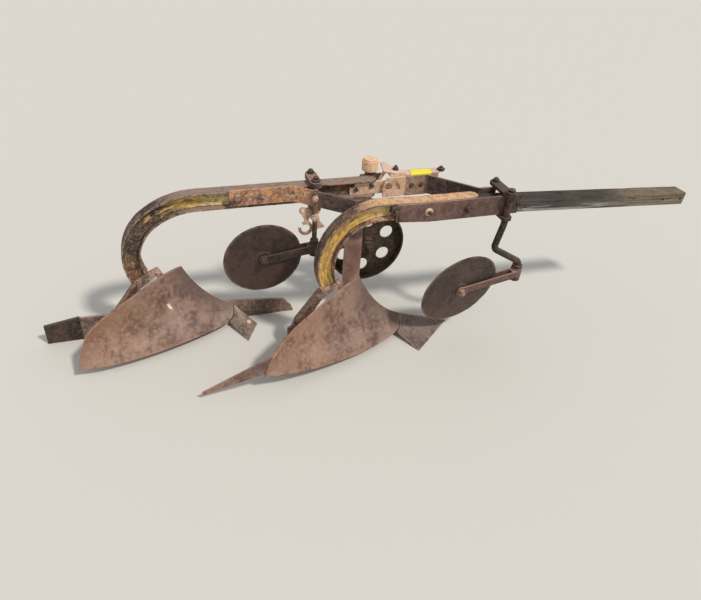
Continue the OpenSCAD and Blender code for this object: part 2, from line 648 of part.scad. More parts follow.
// Yoke: a sleeve on the stem with two arms that run back to the disc's hub and lean with it.
yoke_gap = 11;
arm_w = 8;
sleeve_foot = 55;
module yoke(trail, drop, r, lean) {
    difference() {
        union() {
            translate([0, 0, -sleeve_foot]) cylinder(r = r + 11, h = sleeve_foot - 9);
            translate([-trail, 0, -drop]) rotate([lean, 0, 0]) {
                translate([trail - 36, -yoke_gap - arm_w, drop - sleeve_foot])
                    cube([26, 2 * (yoke_gap + arm_w), 40]);
                for (s = [0, 1]) mirror([0, s, 0])
                    translate([0, yoke_gap + arm_w, 0]) rotate([90, 0, 0]) linear_extrude(arm_w) {
                        polygon([[trail - 12, drop - sleeve_foot], [trail - 12, drop - 15],
                            [trail - 40, drop - 15], [0, 20], [0, -20], [trail - 44, drop - sleeve_foot]]);
                        circle(r = 24);
                    }
                rotate([90, 0, 0]) cylinder(r = 10, h = 2 * yoke_gap + 44, center = true);
            }
        }
        translate([0, 0, -sleeve_foot - 5]) cylinder(r = r + axle_gap, h = 80);
    }
}
module coulter_disc(r) rotate([90, 0, 0]) rotate_extrude($fn = 128) polygon([[10 + axle_gap, -8], [36, -8],
    [40, -coulter_t / 2], [r - 14, -coulter_t / 2], [r, -0.4], [r, 0.4],
    [r - 14, coulter_t / 2], [40, coulter_t / 2], [36, 8], [10 + axle_gap, 8]]);
module at_front_pivot()
    translate([front_stem_x + front_kick, stem_y_front, front_pivot_z]) rotate(front_turn) children();
module at_rear_pivot()
    translate([rear_stem_x, stem_y_rear, rear_pivot_z]) rotate(rear_turn) children();
module front_coulter_yoke() color("saddlebrown")
    at_front_pivot() yoke(front_trail, front_drop, stem_r, front_lean);
module rear_coulter_yoke() color("saddlebrown")
    at_rear_pivot() yoke(rear_trail, rear_drop, rear_stem_r, rear_lean);
module front_coulter_disc() color("brown")
    at_front_pivot() translate([-front_trail, 0, -front_drop]) rotate([front_lean, 0, 0])
        coulter_disc(front_disc_r);
module rear_coulter_disc() color("brown")
    at_rear_pivot() translate([-rear_trail, 0, -rear_drop]) rotate([rear_lean, 0, 0])
        coulter_disc(rear_disc_r);

near_beam();
far_beam();
near_side_plate();
rear_brace();
front_brace();
far_channel();
channel_gusset();
cross_bar();
pole();
wheel_post();
wheel_arm();
lift_screw();
land_wheel();
front_frog();
rear_frog();
front_moldboard();
rear_moldboard();
front_share();
rear_share();
front_landside();
rear_landside();
rear_heel();
tail_strip();
front_coulter_clamp();
front_coulter_stem();
front_coulter_yoke();
front_coulter_disc();
rear_coulter_clamp();
rear_coulter_stem();
rear_coulter_yoke();
rear_coulter_disc();
channel_splice();
channel_cleat();
screw_bracket();
drag_hook();
front_stay();
rear_stay();
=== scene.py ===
import math

import bmesh
import bpy
import numpy as np
from mathutils import Matrix, Vector


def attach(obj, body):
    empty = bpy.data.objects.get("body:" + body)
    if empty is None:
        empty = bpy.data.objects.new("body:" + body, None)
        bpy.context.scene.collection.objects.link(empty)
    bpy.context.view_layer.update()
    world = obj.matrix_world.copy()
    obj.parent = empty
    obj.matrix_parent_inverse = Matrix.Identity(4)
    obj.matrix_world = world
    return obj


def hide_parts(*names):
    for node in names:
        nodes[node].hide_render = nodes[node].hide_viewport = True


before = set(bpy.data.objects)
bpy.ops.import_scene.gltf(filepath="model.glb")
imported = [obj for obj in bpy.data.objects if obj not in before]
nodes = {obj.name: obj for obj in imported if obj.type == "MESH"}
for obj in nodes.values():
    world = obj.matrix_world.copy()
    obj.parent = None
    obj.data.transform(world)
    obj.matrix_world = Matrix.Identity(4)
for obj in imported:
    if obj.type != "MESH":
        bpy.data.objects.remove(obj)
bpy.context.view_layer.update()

mm = 0.001  # lengths are in millimetres, spans and sizes in a finish in metres

# Layout shared by the pieces.
bodyGap, furrow = 743, 254  # rear body from the front body: back, and to the land side
rearShift = (-bodyGap, furrow, 0)
beam = dict(width=65, web=-22, nearEnd=424, farEnd=53)
nearSide = beam["web"] - beam["width"] / 2  # the near beam's right-hand side
farSide = nearSide + furrow  # the far beam's
plateThick = 10


def unit(v):
    v = np.asarray(v, float)
    return v / np.linalg.norm(v, axis=-1, keepdims=True)


def smooth(x, low, high):
    t = np.clip((x - low) / (high - low), 0, 1)
    return t * t * (3 - 2 * t)


def xyz(x, y, z):  # points or vectors from their three parts
    return np.stack(np.broadcast_arrays(x, y, z), axis=-1)


def grain(points, size, seed=0):
    # Soft lumps from -1 to 1: a hashed number at each corner of a cubic lattice of this cell size,
    # blended across the cell by 3t^2 - 2t^3 along each axis.
    q = np.asarray(points, float) / size + 31.7 * seed
    cell = np.floor(q).astype(np.int64)
    t = q - cell
    t = t * t * (3 - 2 * t)
    total = np.zeros(q.shape[:-1])
    for corner in range(8):
        step = np.array([corner & 1, corner >> 1 & 1, corner >> 2 & 1])
        c = cell + step
        h = (c[..., 0] * 73856093) ^ (c[..., 1] * 19349663) ^ (c[..., 2] * 83492791) ^ (seed * 951631)
        h = ((h ^ (h >> 13)) * 1274126177) & 0x7FFFFFFF
        h = ((h ^ (h >> 15)) * 668265263) & 0x7FFFFFFF
        total += (((h >> 7) & 0xFFFF) / 32767.5 - 1) * np.prod(np.where(step, t, 1 - t), axis=-1)
    return total


# Meshes.
def linked(name, data):
    obj = bpy.data.objects.new(name, data)
    bpy.context.scene.collection.objects.link(obj)
    return obj


def declared(obj, body, replaced):
    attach(obj, body)
    if replaced:
        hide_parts(*replaced)
    return obj


def gridFaces(nu, nv, closeU=False, closeV=False, start=0):
    i, j = np.meshgrid(np.arange(nu if closeU else nu - 1), np.arange(nv if closeV else nv - 1), indexing="ij")
    a, b = i * nv + j, (i + 1) % nu * nv + j
    c, d = (i + 1) % nu * nv + (j + 1) % nv, i * nv + (j + 1) % nv
    return (start + np.stack([a, b, c, d], axis=-1).reshape(-1, 4)).tolist()


def tubeFaces(nu, nv):  # the sides of a closed tube and its two flat ends
    return gridFaces(nu, nv, closeV=True) + [list(range(nv)), [(nu - 1) * nv + k for k in range(nv)][::-1]]


def makePiece(name, points, faces, finish, body="frame", replaced=(), marks=None, sharp=None):
    # points in millimetres; marks are {attribute name: a number or a vector for each point, row or column};
    # an edge stays sharp where the surface turns by more than sharp degrees
    mesh = bpy.data.meshes.new(name)
    mesh.from_pydata((points.reshape(-1, 3) * mm).tolist(), [], faces)
    for key, values in (marks or {}).items():
        values = np.asarray(values, np.float32)
        vector = values.ndim == points.ndim
        values = values if vector else np.broadcast_to(values, points.shape[:-1])
        kind, field = ("FLOAT_VECTOR", "vector") if vector else ("FLOAT", "value")
        mesh.attributes.new(key, kind, "POINT").data.foreach_set(field, values.ravel())
    mesh.materials.append(finish)
    bm = bmesh.new()
    bm.from_mesh(mesh)
    bmesh.ops.remove_doubles(bm, verts=bm.verts, dist=2e-6)
    bmesh.ops.recalc_face_normals(bm, faces=bm.faces)
    bm.to_mesh(mesh)
    bm.free()
    mesh.shade_smooth()
    if sharp:
        mesh.set_sharp_from_angle(angle=math.radians(sharp))
    return declared(linked(name, mesh), body, replaced)


soften = dict(join=1.2, corner=26, segments=2, profile=0.6, sharp=50)  # angles in degrees


def softened(node, finish, width, body, reshape):
    # A merged copy of the node, its flat faces joined, its outer corners rounded and marked as worn.
    bm = bmesh.new()
    bm.from_mesh(nodes[node].data)
    bmesh.ops.remove_doubles(bm, verts=bm.verts, dist=1e-5)
    bmesh.ops.dissolve_limit(bm, angle_limit=math.radians(soften["join"]), verts=bm.verts, edges=bm.edges)
    bmesh.ops.recalc_face_normals(bm, faces=bm.faces)
    for low, high, lift in reshape:
        for vertex in bm.verts:
            if low * mm < vertex.co.z < high * mm:
                vertex.co.z += lift * mm
    worn = bm.faces.layers.float.new("wear")
    corner = math.radians(soften["corner"])
    edges = [e for e in bm.edges if e.is_manifold and e.is_convex and e.calc_face_angle(0) > corner]
    made = bmesh.ops.bevel(bm, geom=edges, offset=width * mm, offset_type="OFFSET", affect="EDGES",
                           segments=soften["segments"], profile=soften["profile"], clamp_overlap=True,
                           miter_outer="ARC")
    for face in made["faces"]:
        face[worn] = 1
    for face in bm.faces:
        face.smooth = True
    mesh = bpy.data.meshes.new(node + "_worn")
    bm.to_mesh(mesh)
    bm.free()
    mesh.materials.append(finish)
    mesh.set_sharp_from_angle(angle=math.radians(soften["sharp"]))
    obj = linked(node + "_worn", mesh)
    obj.modifiers.new("evened", "WEIGHTED_NORMAL").keep_sharp = True
    return declared(obj, body, [node])


# Materials.
class Wire:  # an output socket that adds up like a number
    def __init__(self, finish, socket):
        self.finish, self.socket = finish, socket

    def maths(self, operation, a, b):
        return self.finish.node("Math", {"operation": operation}, {0: a, 1: b})

    __add__ = __radd__ = lambda self, other: self.maths("ADD", self, other)
    __mul__ = __rmul__ = lambda self, other: self.maths("MULTIPLY", self, other)
    __sub__ = lambda self, other: self.maths("SUBTRACT", self, other)
    __rsub__ = lambda self, other: self.maths("SUBTRACT", other, self)


class Finish:
    def __init__(self, name, colour=None):
        self.colour = colour
        self.material = bpy.data.materials.new(name)
        self.material.use_nodes = True
        self.tree = self.material.node_tree
        self.tree.nodes.clear()
        self.place = self.node("TexCoord", out="Object")

    def node(self, kind, settings=None, values=None, out=0):
        made = self.tree.nodes.new("ShaderNode" + kind)
        for key, value in (settings or {}).items():
            setattr(made, key, value)
        for key, value in (values or {}).items():
            if isinstance(value, Wire):
                self.tree.links.new(value.socket, made.inputs[key])
            else:
                made.inputs[key].default_value = tone(value) if isinstance(value, str) else value
        return Wire(self, made.outputs[out])

    def noise(self, scale, detail=4, rough=0.6, at=None, bend=0):
        return self.node("TexNoise", {"normalize": True}, {
            "Vector": at or self.place, "Scale": scale, "Detail": detail, "Roughness": rough,
            "Distortion": bend})

    def stretched(self, scale, at=None):
        return self.node("Mapping", {"vector_type": "POINT"}, {"Vector": at or self.place, "Scale": scale})

    def step(self, value, low, high):
        return self.node("MapRange", {"interpolation_type": "SMOOTHSTEP", "clamp": True},
                         {"Value": value, "From Min": low, "From Max": high, "To Min": 0.0, "To Max": 1.0})

    def mix(self, share, a, b):
        return self.node("Mix", {"data_type": "RGBA", "blend_type": "MIX"}, {0: share, 6: a, 7: b}, out=2)

    def lay(self, share, over):  # a tone over the colour so far
        self.colour = self.mix(share, self.colour, over)

    def mark(self, name, out="Fac"):
        return self.node("Attribute", {"attribute_name": name, "attribute_type": "GEOMETRY"}, out=out)

    def part(self, vector, axis):
        return self.node("SeparateXYZ", values={0: vector}, out=axis)

    def facing(self):  # how far the surface faces up, -1 to 1
        return self.part(self.node("NewGeometry", out="Normal"), "Z")

    def close(self, rough, bumps, metallic=0.0):
        # bumps are (height, depth in millimetres), each laid over the one before
        shader = self.node("BsdfPrincipled", values={
            "Base Color": self.colour, "Roughness": rough, "Metallic": metallic}, out="BSDF")
        normal = None
        for height, depth in bumps:
            values = {"Height": height, "Distance": depth * mm, "Strength": 1.0}
            if normal:
                values["Normal"] = normal
            normal = self.node("Bump", values=values, out="Normal")
        if normal:
            self.tree.links.new(normal.socket, shader.socket.node.inputs["Normal"])
        end = self.tree.nodes.new("ShaderNodeOutputMaterial")
        self.tree.links.new(shader.socket, end.inputs["Surface"])
        return self.material


def tone(text):  # six hex digits, as a linear colour
    parts = [int(text[k:k + 2], 16) / 255 for k in (0, 2, 4)]
    return tuple(c / 12.92 if c <= 0.0404 else ((c + 0.055) / 1.055) ** 2.4 for c in parts) + (1,)


def table(columns, **rows):  # each row: its tones in one text, then its numbers
    return {key: dict(zip(columns.split(), [*row[0].split(), *row[1:]])) for key, row in rows.items()}


def rusted(name, look):
    # Old rust in layers: broad tones, lumps of 1 to 3 cm, mottling, orange flakes, dark scabs and pits,
    # dust on what faces up, stretches with a tone of their own or painted shade, paint, and rubbed corners.
    f = Finish(name)
    size = look["cloud"]
    broad = f.noise(look["broad"], 4, 0.55, bend=0.5)
    cloud = f.noise(size, 6, 0.64, bend=0.4)
    mottle = f.noise(size * 3.3, 5, 0.64)
    fine = f.noise(620, 3)
    flake = f.noise(size * 0.6, 8, 0.7, bend=1)
    scab = f.step(f.noise(size * 1.7, 7, 0.68, bend=0.8), 0.56, 0.61)
    pits = f.step(fine, 0.6, 0.7)
    patch = cloud * 0.6 + mottle * 0.4
    f.colour = f.mix(f.step(broad * 0.5 + cloud * 0.5, 0.41, 0.59), look["deep"], look["main"])
    f.lay(f.step(mottle * 0.6 + cloud * 0.4, 0.47, 0.62) * look["fleck"], look["pale"])
    f.lay(f.step(mottle * 0.7 + broad * 0.3, 0.53, 0.43) * look["fleck"] * 0.8, look["deep"])
    warmth = f.step(flake * 0.7 + broad * 0.3, look["warmFrom"], look["warmFrom"] + 0.07)
    f.lay(warmth * look["warmShare"], look["warm"])
    f.lay(scab * look["darkShare"], look["dark"])
    low, high, ragged = look.get("dustSpan", (0.45, 0.85, 0.8))
    dust = f.step(f.facing() + (cloud - 0.5) * ragged, low, high)
    dust = dust * (0.45 + 0.55 * f.step(cloud * 0.7 + mottle * 0.3, 0.57, 0.45)) * look["dust"]
    f.lay(dust, look["dusty"])
    # zones: stretches with a tone of their own, or painted shade as on the wheel post and the rear brace
    for axis, span, share, main, deep in look.get("zones", ()):
        other = f.mix(f.step(patch, 0.43, 0.57), deep, main)
        within = f.step(f.part(f.place, axis) + (cloud - 0.5) * 0.03, *span)
        f.lay(within * share, other)
    if "paint" in look:
        painted(f, look["paint"], cloud, mottle, broad)
    rubbed = f.mark("wear") * f.step(patch, 0.4, 0.56)
    f.lay(rubbed * look["rub"], look["edge"])
    f.lay(pits * 0.5, look["dark"])
    rough = 0.9 - look["polish"] * f.step(cloud, 0.45, 0.65) - rubbed * 0.2 + pits * 0.05
    return f.close(rough, [(broad, look["wave"]), (cloud, look["lump"]), (warmth, 0.12), (scab, -0.2),
                           (mottle, look["tooth"]), (fine, 0.12)])


def painted(f, paint, cloud, mottle, broad):
    # What is left of the paint: the piece says where it holds, the noises chip it, stain it and bleach it.
    section = f.mark("section", "Vector")
    chips = f.noise(paint["chip"], 8, 0.7, f.stretched((0.35, 1.9, 1.9), section), 0.5)
    fleck = f.noise(120, 4, 0.66, f.stretched((0.3, 1.2, 1.2), section))
    left = f.step(chips * 0.8 + fleck * 0.2 + f.mark("paint"), 0.97, 1.03)
    streak = f.noise(60, 5, 0.66, f.stretched((0.15, 1.5, 1.5), section))
    shade = f.mix(f.step(cloud * 0.6 + broad * 0.4, 0.42, 0.6), paint["colour"], paint["faded"])
    shade = f.mix(f.step(streak * 0.7 + mottle * 0.3, 0.47, 0.6) * 0.75, shade, paint["stained"])
    shade = f.mix(f.mark("bleach") * f.step(cloud, 0.36, 0.56), shade, paint["bleached"])
    shade = f.mix(f.step(fleck, 0.52, 0.62) * 0.6, shade, paint["light"])
    f.lay(left, shade)


rustLook = table(
    "deep main warm dark pale edge dusty "
    "broad cloud warmFrom warmShare darkShare fleck dust rub polish wave lump tooth",
    beam=("382e2c 5e4e45 986846 241f20 9e846e b08e76 e6b48a",
          7, 44, 0.53, 0.65, 0.6, 0.7, 1, 0.6, 0.12, 1.4, 0.9, 0.35),
    plate=("5c453e 775b52 966448 3c2e2c 8a6d62 ac8a74 b69480",
           5, 36, 0.57, 0.4, 0.3, 0.4, 0.6, 0.6, 0.2, 1.4, 0.4, 0.2),
    pale=("b6927c e0ba9e dca072 60483e eed2ba eacab0 e8ceb6",
          7, 48, 0.55, 0.5, 0.4, 0.6, 0.6, 0.6, 0.12, 1.2, 0.6, 0.3),
    iron=("584238 92725e ac7850 302623 ba9c82 be9e82 c4a88c",
          9, 52, 0.54, 0.55, 0.5, 0.7, 0.7, 0.6, 0.1, 1.6, 1.1, 0.5),
    dark=("2a2120 483832 74503a 1c1819 685448 7c6252 7a6252",
          9, 56, 0.56, 0.5, 0.5, 0.6, 0.5, 0.6, 0.15, 1.2, 0.8, 0.4),
    tube=("aa8072 cea090 ac7658 543e38 b28c7c b28e7a b08c78",
          6, 22, 0.56, 0.3, 0.15, 0.3, 0.3, 0.5, 0.25, 0.8, 0.25, 0.12),
    # the wheel: dark rust, made darker still as painted shade
    wheel=("2c241c 4a3c2d 745232 1c1816 68563e 886c4c 7e664a",
           7, 40, 0.54, 0.55, 0.5, 0.5, 0.4, 0.5, 0.1, 1.6, 1, 0.5),
)
beamPaint = dict(chip=46, colour="e2b44e", faded="c69c58", stained="866036", bleached="e2cca0",
                 light="f2d694")
# What a rust has beside its row: its own look changed for one piece, and zones as (axis, span in metres,
# share, main tone, deep tone).
rustChange = dict(
    beam=("beam", dict(dustSpan=(0.88, 0.99, 0.25), paint=beamPaint)),
    farBeam=("beam", dict(dusty="a68c80", dust=0.8, zones=[("Z", (0.46, 0.36), 0.75, "a47a5c", "543e36")],
                          paint=beamPaint | dict(colour="b2924a", stained="60502e"))),
    # the wheel post's zone is a painted shadow of the beam: dark above about 0.4 m
    tube=("tube", dict(zones=[("Z", (0.385, 0.415), 0.85, "544039", "342a28")])),
    screw=("dark", dict(zones=[("Z", (0.69, 0.7), 1, "f8d4b0", "deb080")])),
    side=("plate", dict(zones=[("X", (0.24, 0.5), 0.8, "634d46", "54403b"),
                               ("X", (0.53, 0.62), 0.85, "483833", "322826")])),
    # the rear brace: pale rust on its flat part, and its slant to the near beam painted dark as shade
    brace=("plate", dict(deep="926856", main="c09278", warm="e29e58", pale="eac296", warmFrom=0.5,
                         warmShare=0.75, fleck=0.7, darkShare=0.5,
                         zones=[("X", (-0.3, -0.22), 0.9, "4e4444", "2e292b")])),
    # the front brace: painted dark as shade over all, with its flat foot in pale rust
    diagonal=("plate", dict(deep="3e302e", main="5c4943",
                            zones=[("X", (0.3, 0.27), 0.9, "ba9a84", "967662")])),
    land=("plate", dict(deep="5e4c44", main="8a7367", pale="a68e7e", warmShare=0.3, darkShare=0.4,
                        fleck=0.6)),
    frog=("iron", dict(zones=[("Z", (0.24, 0.31), 0.8, "ccac96", "806254")])),
)
for key, (base, change) in rustChange.items():
    rustLook[key] = rustLook[base] | change


def soilWorn(name, look):
    # Plate that soil has rubbed: fine scratches along its flow, mottled rust over them, patches still smooth.
    f = Finish(name)
    flow = f.mark("flow", "Vector")
    strokes = f.noise(1, 5, 0.6, f.stretched(look["strokes"], flow))
    hair = f.noise(1, 3, 0.6, f.stretched(look["hairs"], flow))
    broad = f.noise(look["broad"], 4, 0.55, bend=0.5)
    cloud = f.noise(look["cloud"], 6, 0.62, bend=0.4)
    mottle = f.noise(look["cloud"] * 3.4, 5, 0.64)
    fine = f.noise(560, 3)
    pits = f.step(fine, 0.6, 0.7)
    f.colour = f.mix(f.step(broad * 0.6 + cloud * 0.4, 0.42, 0.58), look["deep"], look["main"])
    onward = f.step(f.part(flow, "X") + broad * 0.3, *look["turnAt"])
    f.lay(onward * look["warmShare"], look["warm"])
    f.lay(f.step(cloud * 0.5 + strokes * 0.5, 0.53, 0.63) * look["greyShare"], look["grey"])
    f.lay(f.step(mottle, 0.48, 0.62) * look["fleck"], look["pale"])
    f.lay(f.step(hair, 0.5, 0.7) * look["hairShare"], look["pale"])
    f.lay(f.step(cloud * 0.5 + mottle * 0.5, 0.48, 0.4) * look["darkShare"], look["dark"])
    if "shin" in look:  # the leading edge is greyer and darker: partly grey rust, partly painted shade where the board turns
        ahead = f.step(f.part(flow, "X") + (broad - 0.5) * 0.2, *look["shin"])
        f.lay(ahead * 0.65, look["shinTone"])
    f.lay(f.mark("rim") * f.step(cloud, 0.38, 0.56) * look["rimShare"], look["edge"])
    # painted highlight: the scratch is laid near white as a glint over its bare metal
    f.lay(f.mark("scratchGlint") * f.step(strokes, 0.36, 0.5), look["bare"])
    f.lay(pits * 0.35, look["dark"])
    smoothSpot = f.step(broad * 0.4 + cloud * 0.3 + strokes * 0.3, 0.42, 0.58)
    rough = look["rough"] - look["polish"] * smoothSpot + pits * 0.1
    return f.close(rough, [(broad, 1.2), (strokes, look["groove"]), (cloud, 0.35), (mottle, 0.14),
                           (hair, 0.08), (fine, 0.06)], look["metallic"])


soilLook = table(
    "deep main warm grey pale dark edge bare strokes hairs broad cloud turnAt "
    "warmShare greyShare fleck hairShare darkShare rimShare rough polish groove metallic",
    board=("684d42 8e7061 966c50 7c6a62 a88c7d 48362f aa866e f0e2ce", (5, 30, 1), (14, 380, 1), 5.5, 15,
           (0.35, 0.75), 0.6, 0.45, 0.36, 0.25, 0.45, 0.35, 0.66, 0.16, 0.3, 0),
    share=("604e44 887468 927054 7e726a ac9686 423630 b69678 dccebe", (6, 40, 1), (16, 400, 1), 6, 30,
           (0.4, 0.8), 0.4, 0.5, 0.4, 0.25, 0.4, 0.7, 0.66, 0.22, 0.25, 0.12),
    # the discs: dark rust, made darker still as painted shade
    disc=("302622 483731 5c4238 3e3531 5e4940 1e1918 8a6c58 8c7868", (5, 34, 1), (10, 460, 1), 5, 30,
          (0.3, 0.9), 0.4, 0.3, 0.35, 0.14, 0.45, 0.6, 0.7, 0.2, 0.2, 0.05),
)
# the shin's tone: grey rust, made darker as painted shade
soilLook["board"].update(shin=(0.24, 0.02), shinTone="62514d")
soilLook["frontShare"] = soilLook["share"] | dict(deep="56453d", main="7c685e", pale="9e8a7c", grey="6e625c",
                                                  warm="866650")


def timberFinish():
    # Grey weathered timber: long grain lines, dark cracks, pale dry streaks low on the side, tan at the front.
    f = Finish("weatheredTimber")
    along = f.node("Mapping", values={"Vector": f.place, "Rotation": (0.0, math.radians(-3), 0.0)})
    grainLine = f.noise(1, 6, 0.62, f.stretched((3, 130, 130), along), 0.3)
    fibre = f.noise(1, 4, 0.6, f.stretched((14, 620, 620), along))
    streak = f.noise(1, 5, 0.6, f.stretched((4.5, 46, 46), along), 0.4)
    broad = f.noise(4, 5, bend=0.6)
    blotch = f.noise(30, 7, 0.7)
    forward = f.step(f.part(f.place, "X") + broad * 0.35, 1.26, 1.48)
    up = f.step(f.facing(), 0.3, 0.7)
    f.colour = f.mix(f.step(grainLine * 0.6 + streak * 0.4, 0.4, 0.6), "342d29", "564e48")
    low = f.step(f.mark("height"), 0.1, -0.3) * (1 - up)
    f.lay(f.step(streak, 0.45, 0.6) * low * 0.8, "a09e96")
    # painted shade: the top faces are laid darker
    f.lay(up * 0.85, f.mix(grainLine, "2a2422", "463d39"))
    f.lay(f.step(blotch, 0.5, 0.66) * 0.45, "604e3e")
    tan = f.mix(f.step(grainLine * 0.5 + blotch * 0.5, 0.4, 0.6), "685a48", "887862")
    f.lay(forward * 0.85, tan)
    f.lay(f.step(fibre, 0.5, 0.72) * 0.25, "8e8476")
    f.lay(f.step(grainLine, 0.46, 0.36) * 0.6, "322a25")
    f.lay(f.step(f.mark("crack"), 0.1, 0.8) * 0.9, "221c18")
    f.lay(f.mark("end") * 0.5, "5c4c34")
    return f.close(0.93 - f.step(fibre, 0.5, 0.8) * 0.08,
                   [(grainLine, 1.1), (streak, 0.5), (fibre, 0.3), (blotch, 0.4)])


def tagFinish():
    f = Finish("yellowTag")
    shade = f.noise(40)
    dirt = f.step(f.noise(120, 6, 0.7), 0.58, 0.72)
    f.colour = f.mix(f.step(shade, 0.3, 0.7), "f4e21e", "faec40")
    f.lay(dirt * 0.25, "beaa50")
    return f.close(0.42 + dirt * 0.3, [(shade, 0.3)])


rustNames = dict(beam="nearBeamRust", farBeam="farBeamRust", plate="flatBarRust", pale="paleDustyRust",
                 iron="castIronRust", dark="darkRust", tube="smoothTubeRustPaintedShadow", screw="liftScrewRust",
                 side="sidePlateRust", brace="braceRustPaintedShadeSlant", diagonal="shadedBraceRust",
                 wheel="wheelRustDarkenedAsShade", land="landsideRust", frog="frogRust")
rust = {key: rusted(name, rustLook[key]) for key, name in rustNames.items()}
soilNames = dict(board="moldboardRust", share="shareRust", frontShare="frontShareRust", disc="discRustDarkenedAsShade")
soil = {key: soilWorn(name, soilLook[key]) for key, name in soilNames.items()}
timber, tagYellow = timberFinish(), tagFinish()
print("materials made")


# Beams.
beamShape = dict(
    depth=76, spacing=5.5, outer=3, toe=3.5, root=8, flangeEdge=7, flangeRoot=11,
    webThick=9, lump=0.55, lumpSize=30, pit=0.25, pitSize=7, sunk=0.25, riseSpan=(150, 0),
    tip=(0, 0.4, 1.2, 2.5, 4.5, 7, 10, 14, 18, 23, 28, 33), bodyFrom=38,  # rows from the front end
    sweep=115,  # how far the neck turns; foot is the outer corner on the frog
    near_beam=dict(top=692, rise=5, foot=(-258.8, 303.6), ease=(276.5, 0)),
    far_beam=dict(top=682, rise=0, foot=(-284.4, 291.7), ease=(361.1, 38.4)),
)


def roundedLoop(corners, radii, spacing):
    # Closed outline: each corner becomes an arc tangent to its two sides, and long sides get more points.
    corners = np.asarray(corners, float)
    count, out, arcStep = len(corners), [], 1.8
    for k in range(count):
        p, a, b = corners[k], corners[k - 1], corners[(k + 1) % count]
        da, db = unit(a - p), unit(b - p)
        half = math.acos(np.clip(da @ db, -1, 1)) / 2
        centre = p + unit(da + db) * radii[k] / math.sin(half)
        start, end = p + da * radii[k] / math.tan(half), p + db * radii[k] / math.tan(half)
        a0 = math.atan2(*(start - centre)[::-1])
        a1 = math.atan2(*(end - centre)[::-1])
        turn = (a1 - a0 + math.pi) % (2 * math.pi) - math.pi
        steps = max(2, int(abs(turn) * radii[k] / arcStep))
        angles = (a0 + turn * step / steps for step in range(steps + 1))
        out += [centre + radii[k] * np.array([math.cos(a), math.sin(a)]) for a in angles]
    filled = []
    for k, p in enumerate(out):
        q = out[(k + 1) % len(out)]
        parts = max(1, int(np.linalg.norm(q - p) / spacing))
        filled += [p + (q - p) * s / parts for s in range(parts)]
    return np.array(filled)


def boxLoop(w, h, corner, spacing):  # a rounded rectangle from its half width and half height
    return roundedLoop([(-w, -h), (w, -h), (w, h), (-w, h)], [corner] * 4, spacing)


def beamLine(endX, top, rise, foot, ease):
    # Middle line in the XZ plane and the direction to the outside: straight, rising a little to the rear,
    # then an easing arc and a tighter one, whose radius brings the outer side down to the frog.
    step, half = beamShape["spacing"], beamShape["depth"] / 2
    first, turn, end = ease[0], math.radians(ease[1]), math.radians(beamShape["sweep"])
    top2 = top + rise
    second = (top2 - foot[1] - first * (1 - math.cos(turn))) / (math.cos(turn) - math.cos(end))
    bendX = foot[0] + first * math.sin(turn) + second * (math.sin(end) - math.sin(turn))
    tip = endX - np.array(beamShape["tip"])
    xs = np.concatenate([tip, np.arange(endX - beamShape["bodyFrom"], bendX, -step)])
    line = [np.stack([xs, top + rise * smooth(xs, *beamShape["riseSpan"]) - half], axis=1)]
    out = [np.tile([0.0, 1.0], (len(xs), 1))]
    centre, start = np.array([bendX, top2 - first]), 0
    for radius, stop in ((first, turn), (second, end)):
        if stop > start:
            a = np.linspace(start, stop, int((stop - start) * (radius - half) / step) + 2)[1 if start else 0:]
            arc = np.stack([-np.sin(a), np.cos(a)], axis=1)
            line.append(centre + (radius - half) * arc)
            out.append(arc)
        centre = centre + (radius - second) * np.array([-math.sin(stop), math.cos(stop)])
        start = stop
    return np.concatenate(line), np.concatenate(out)


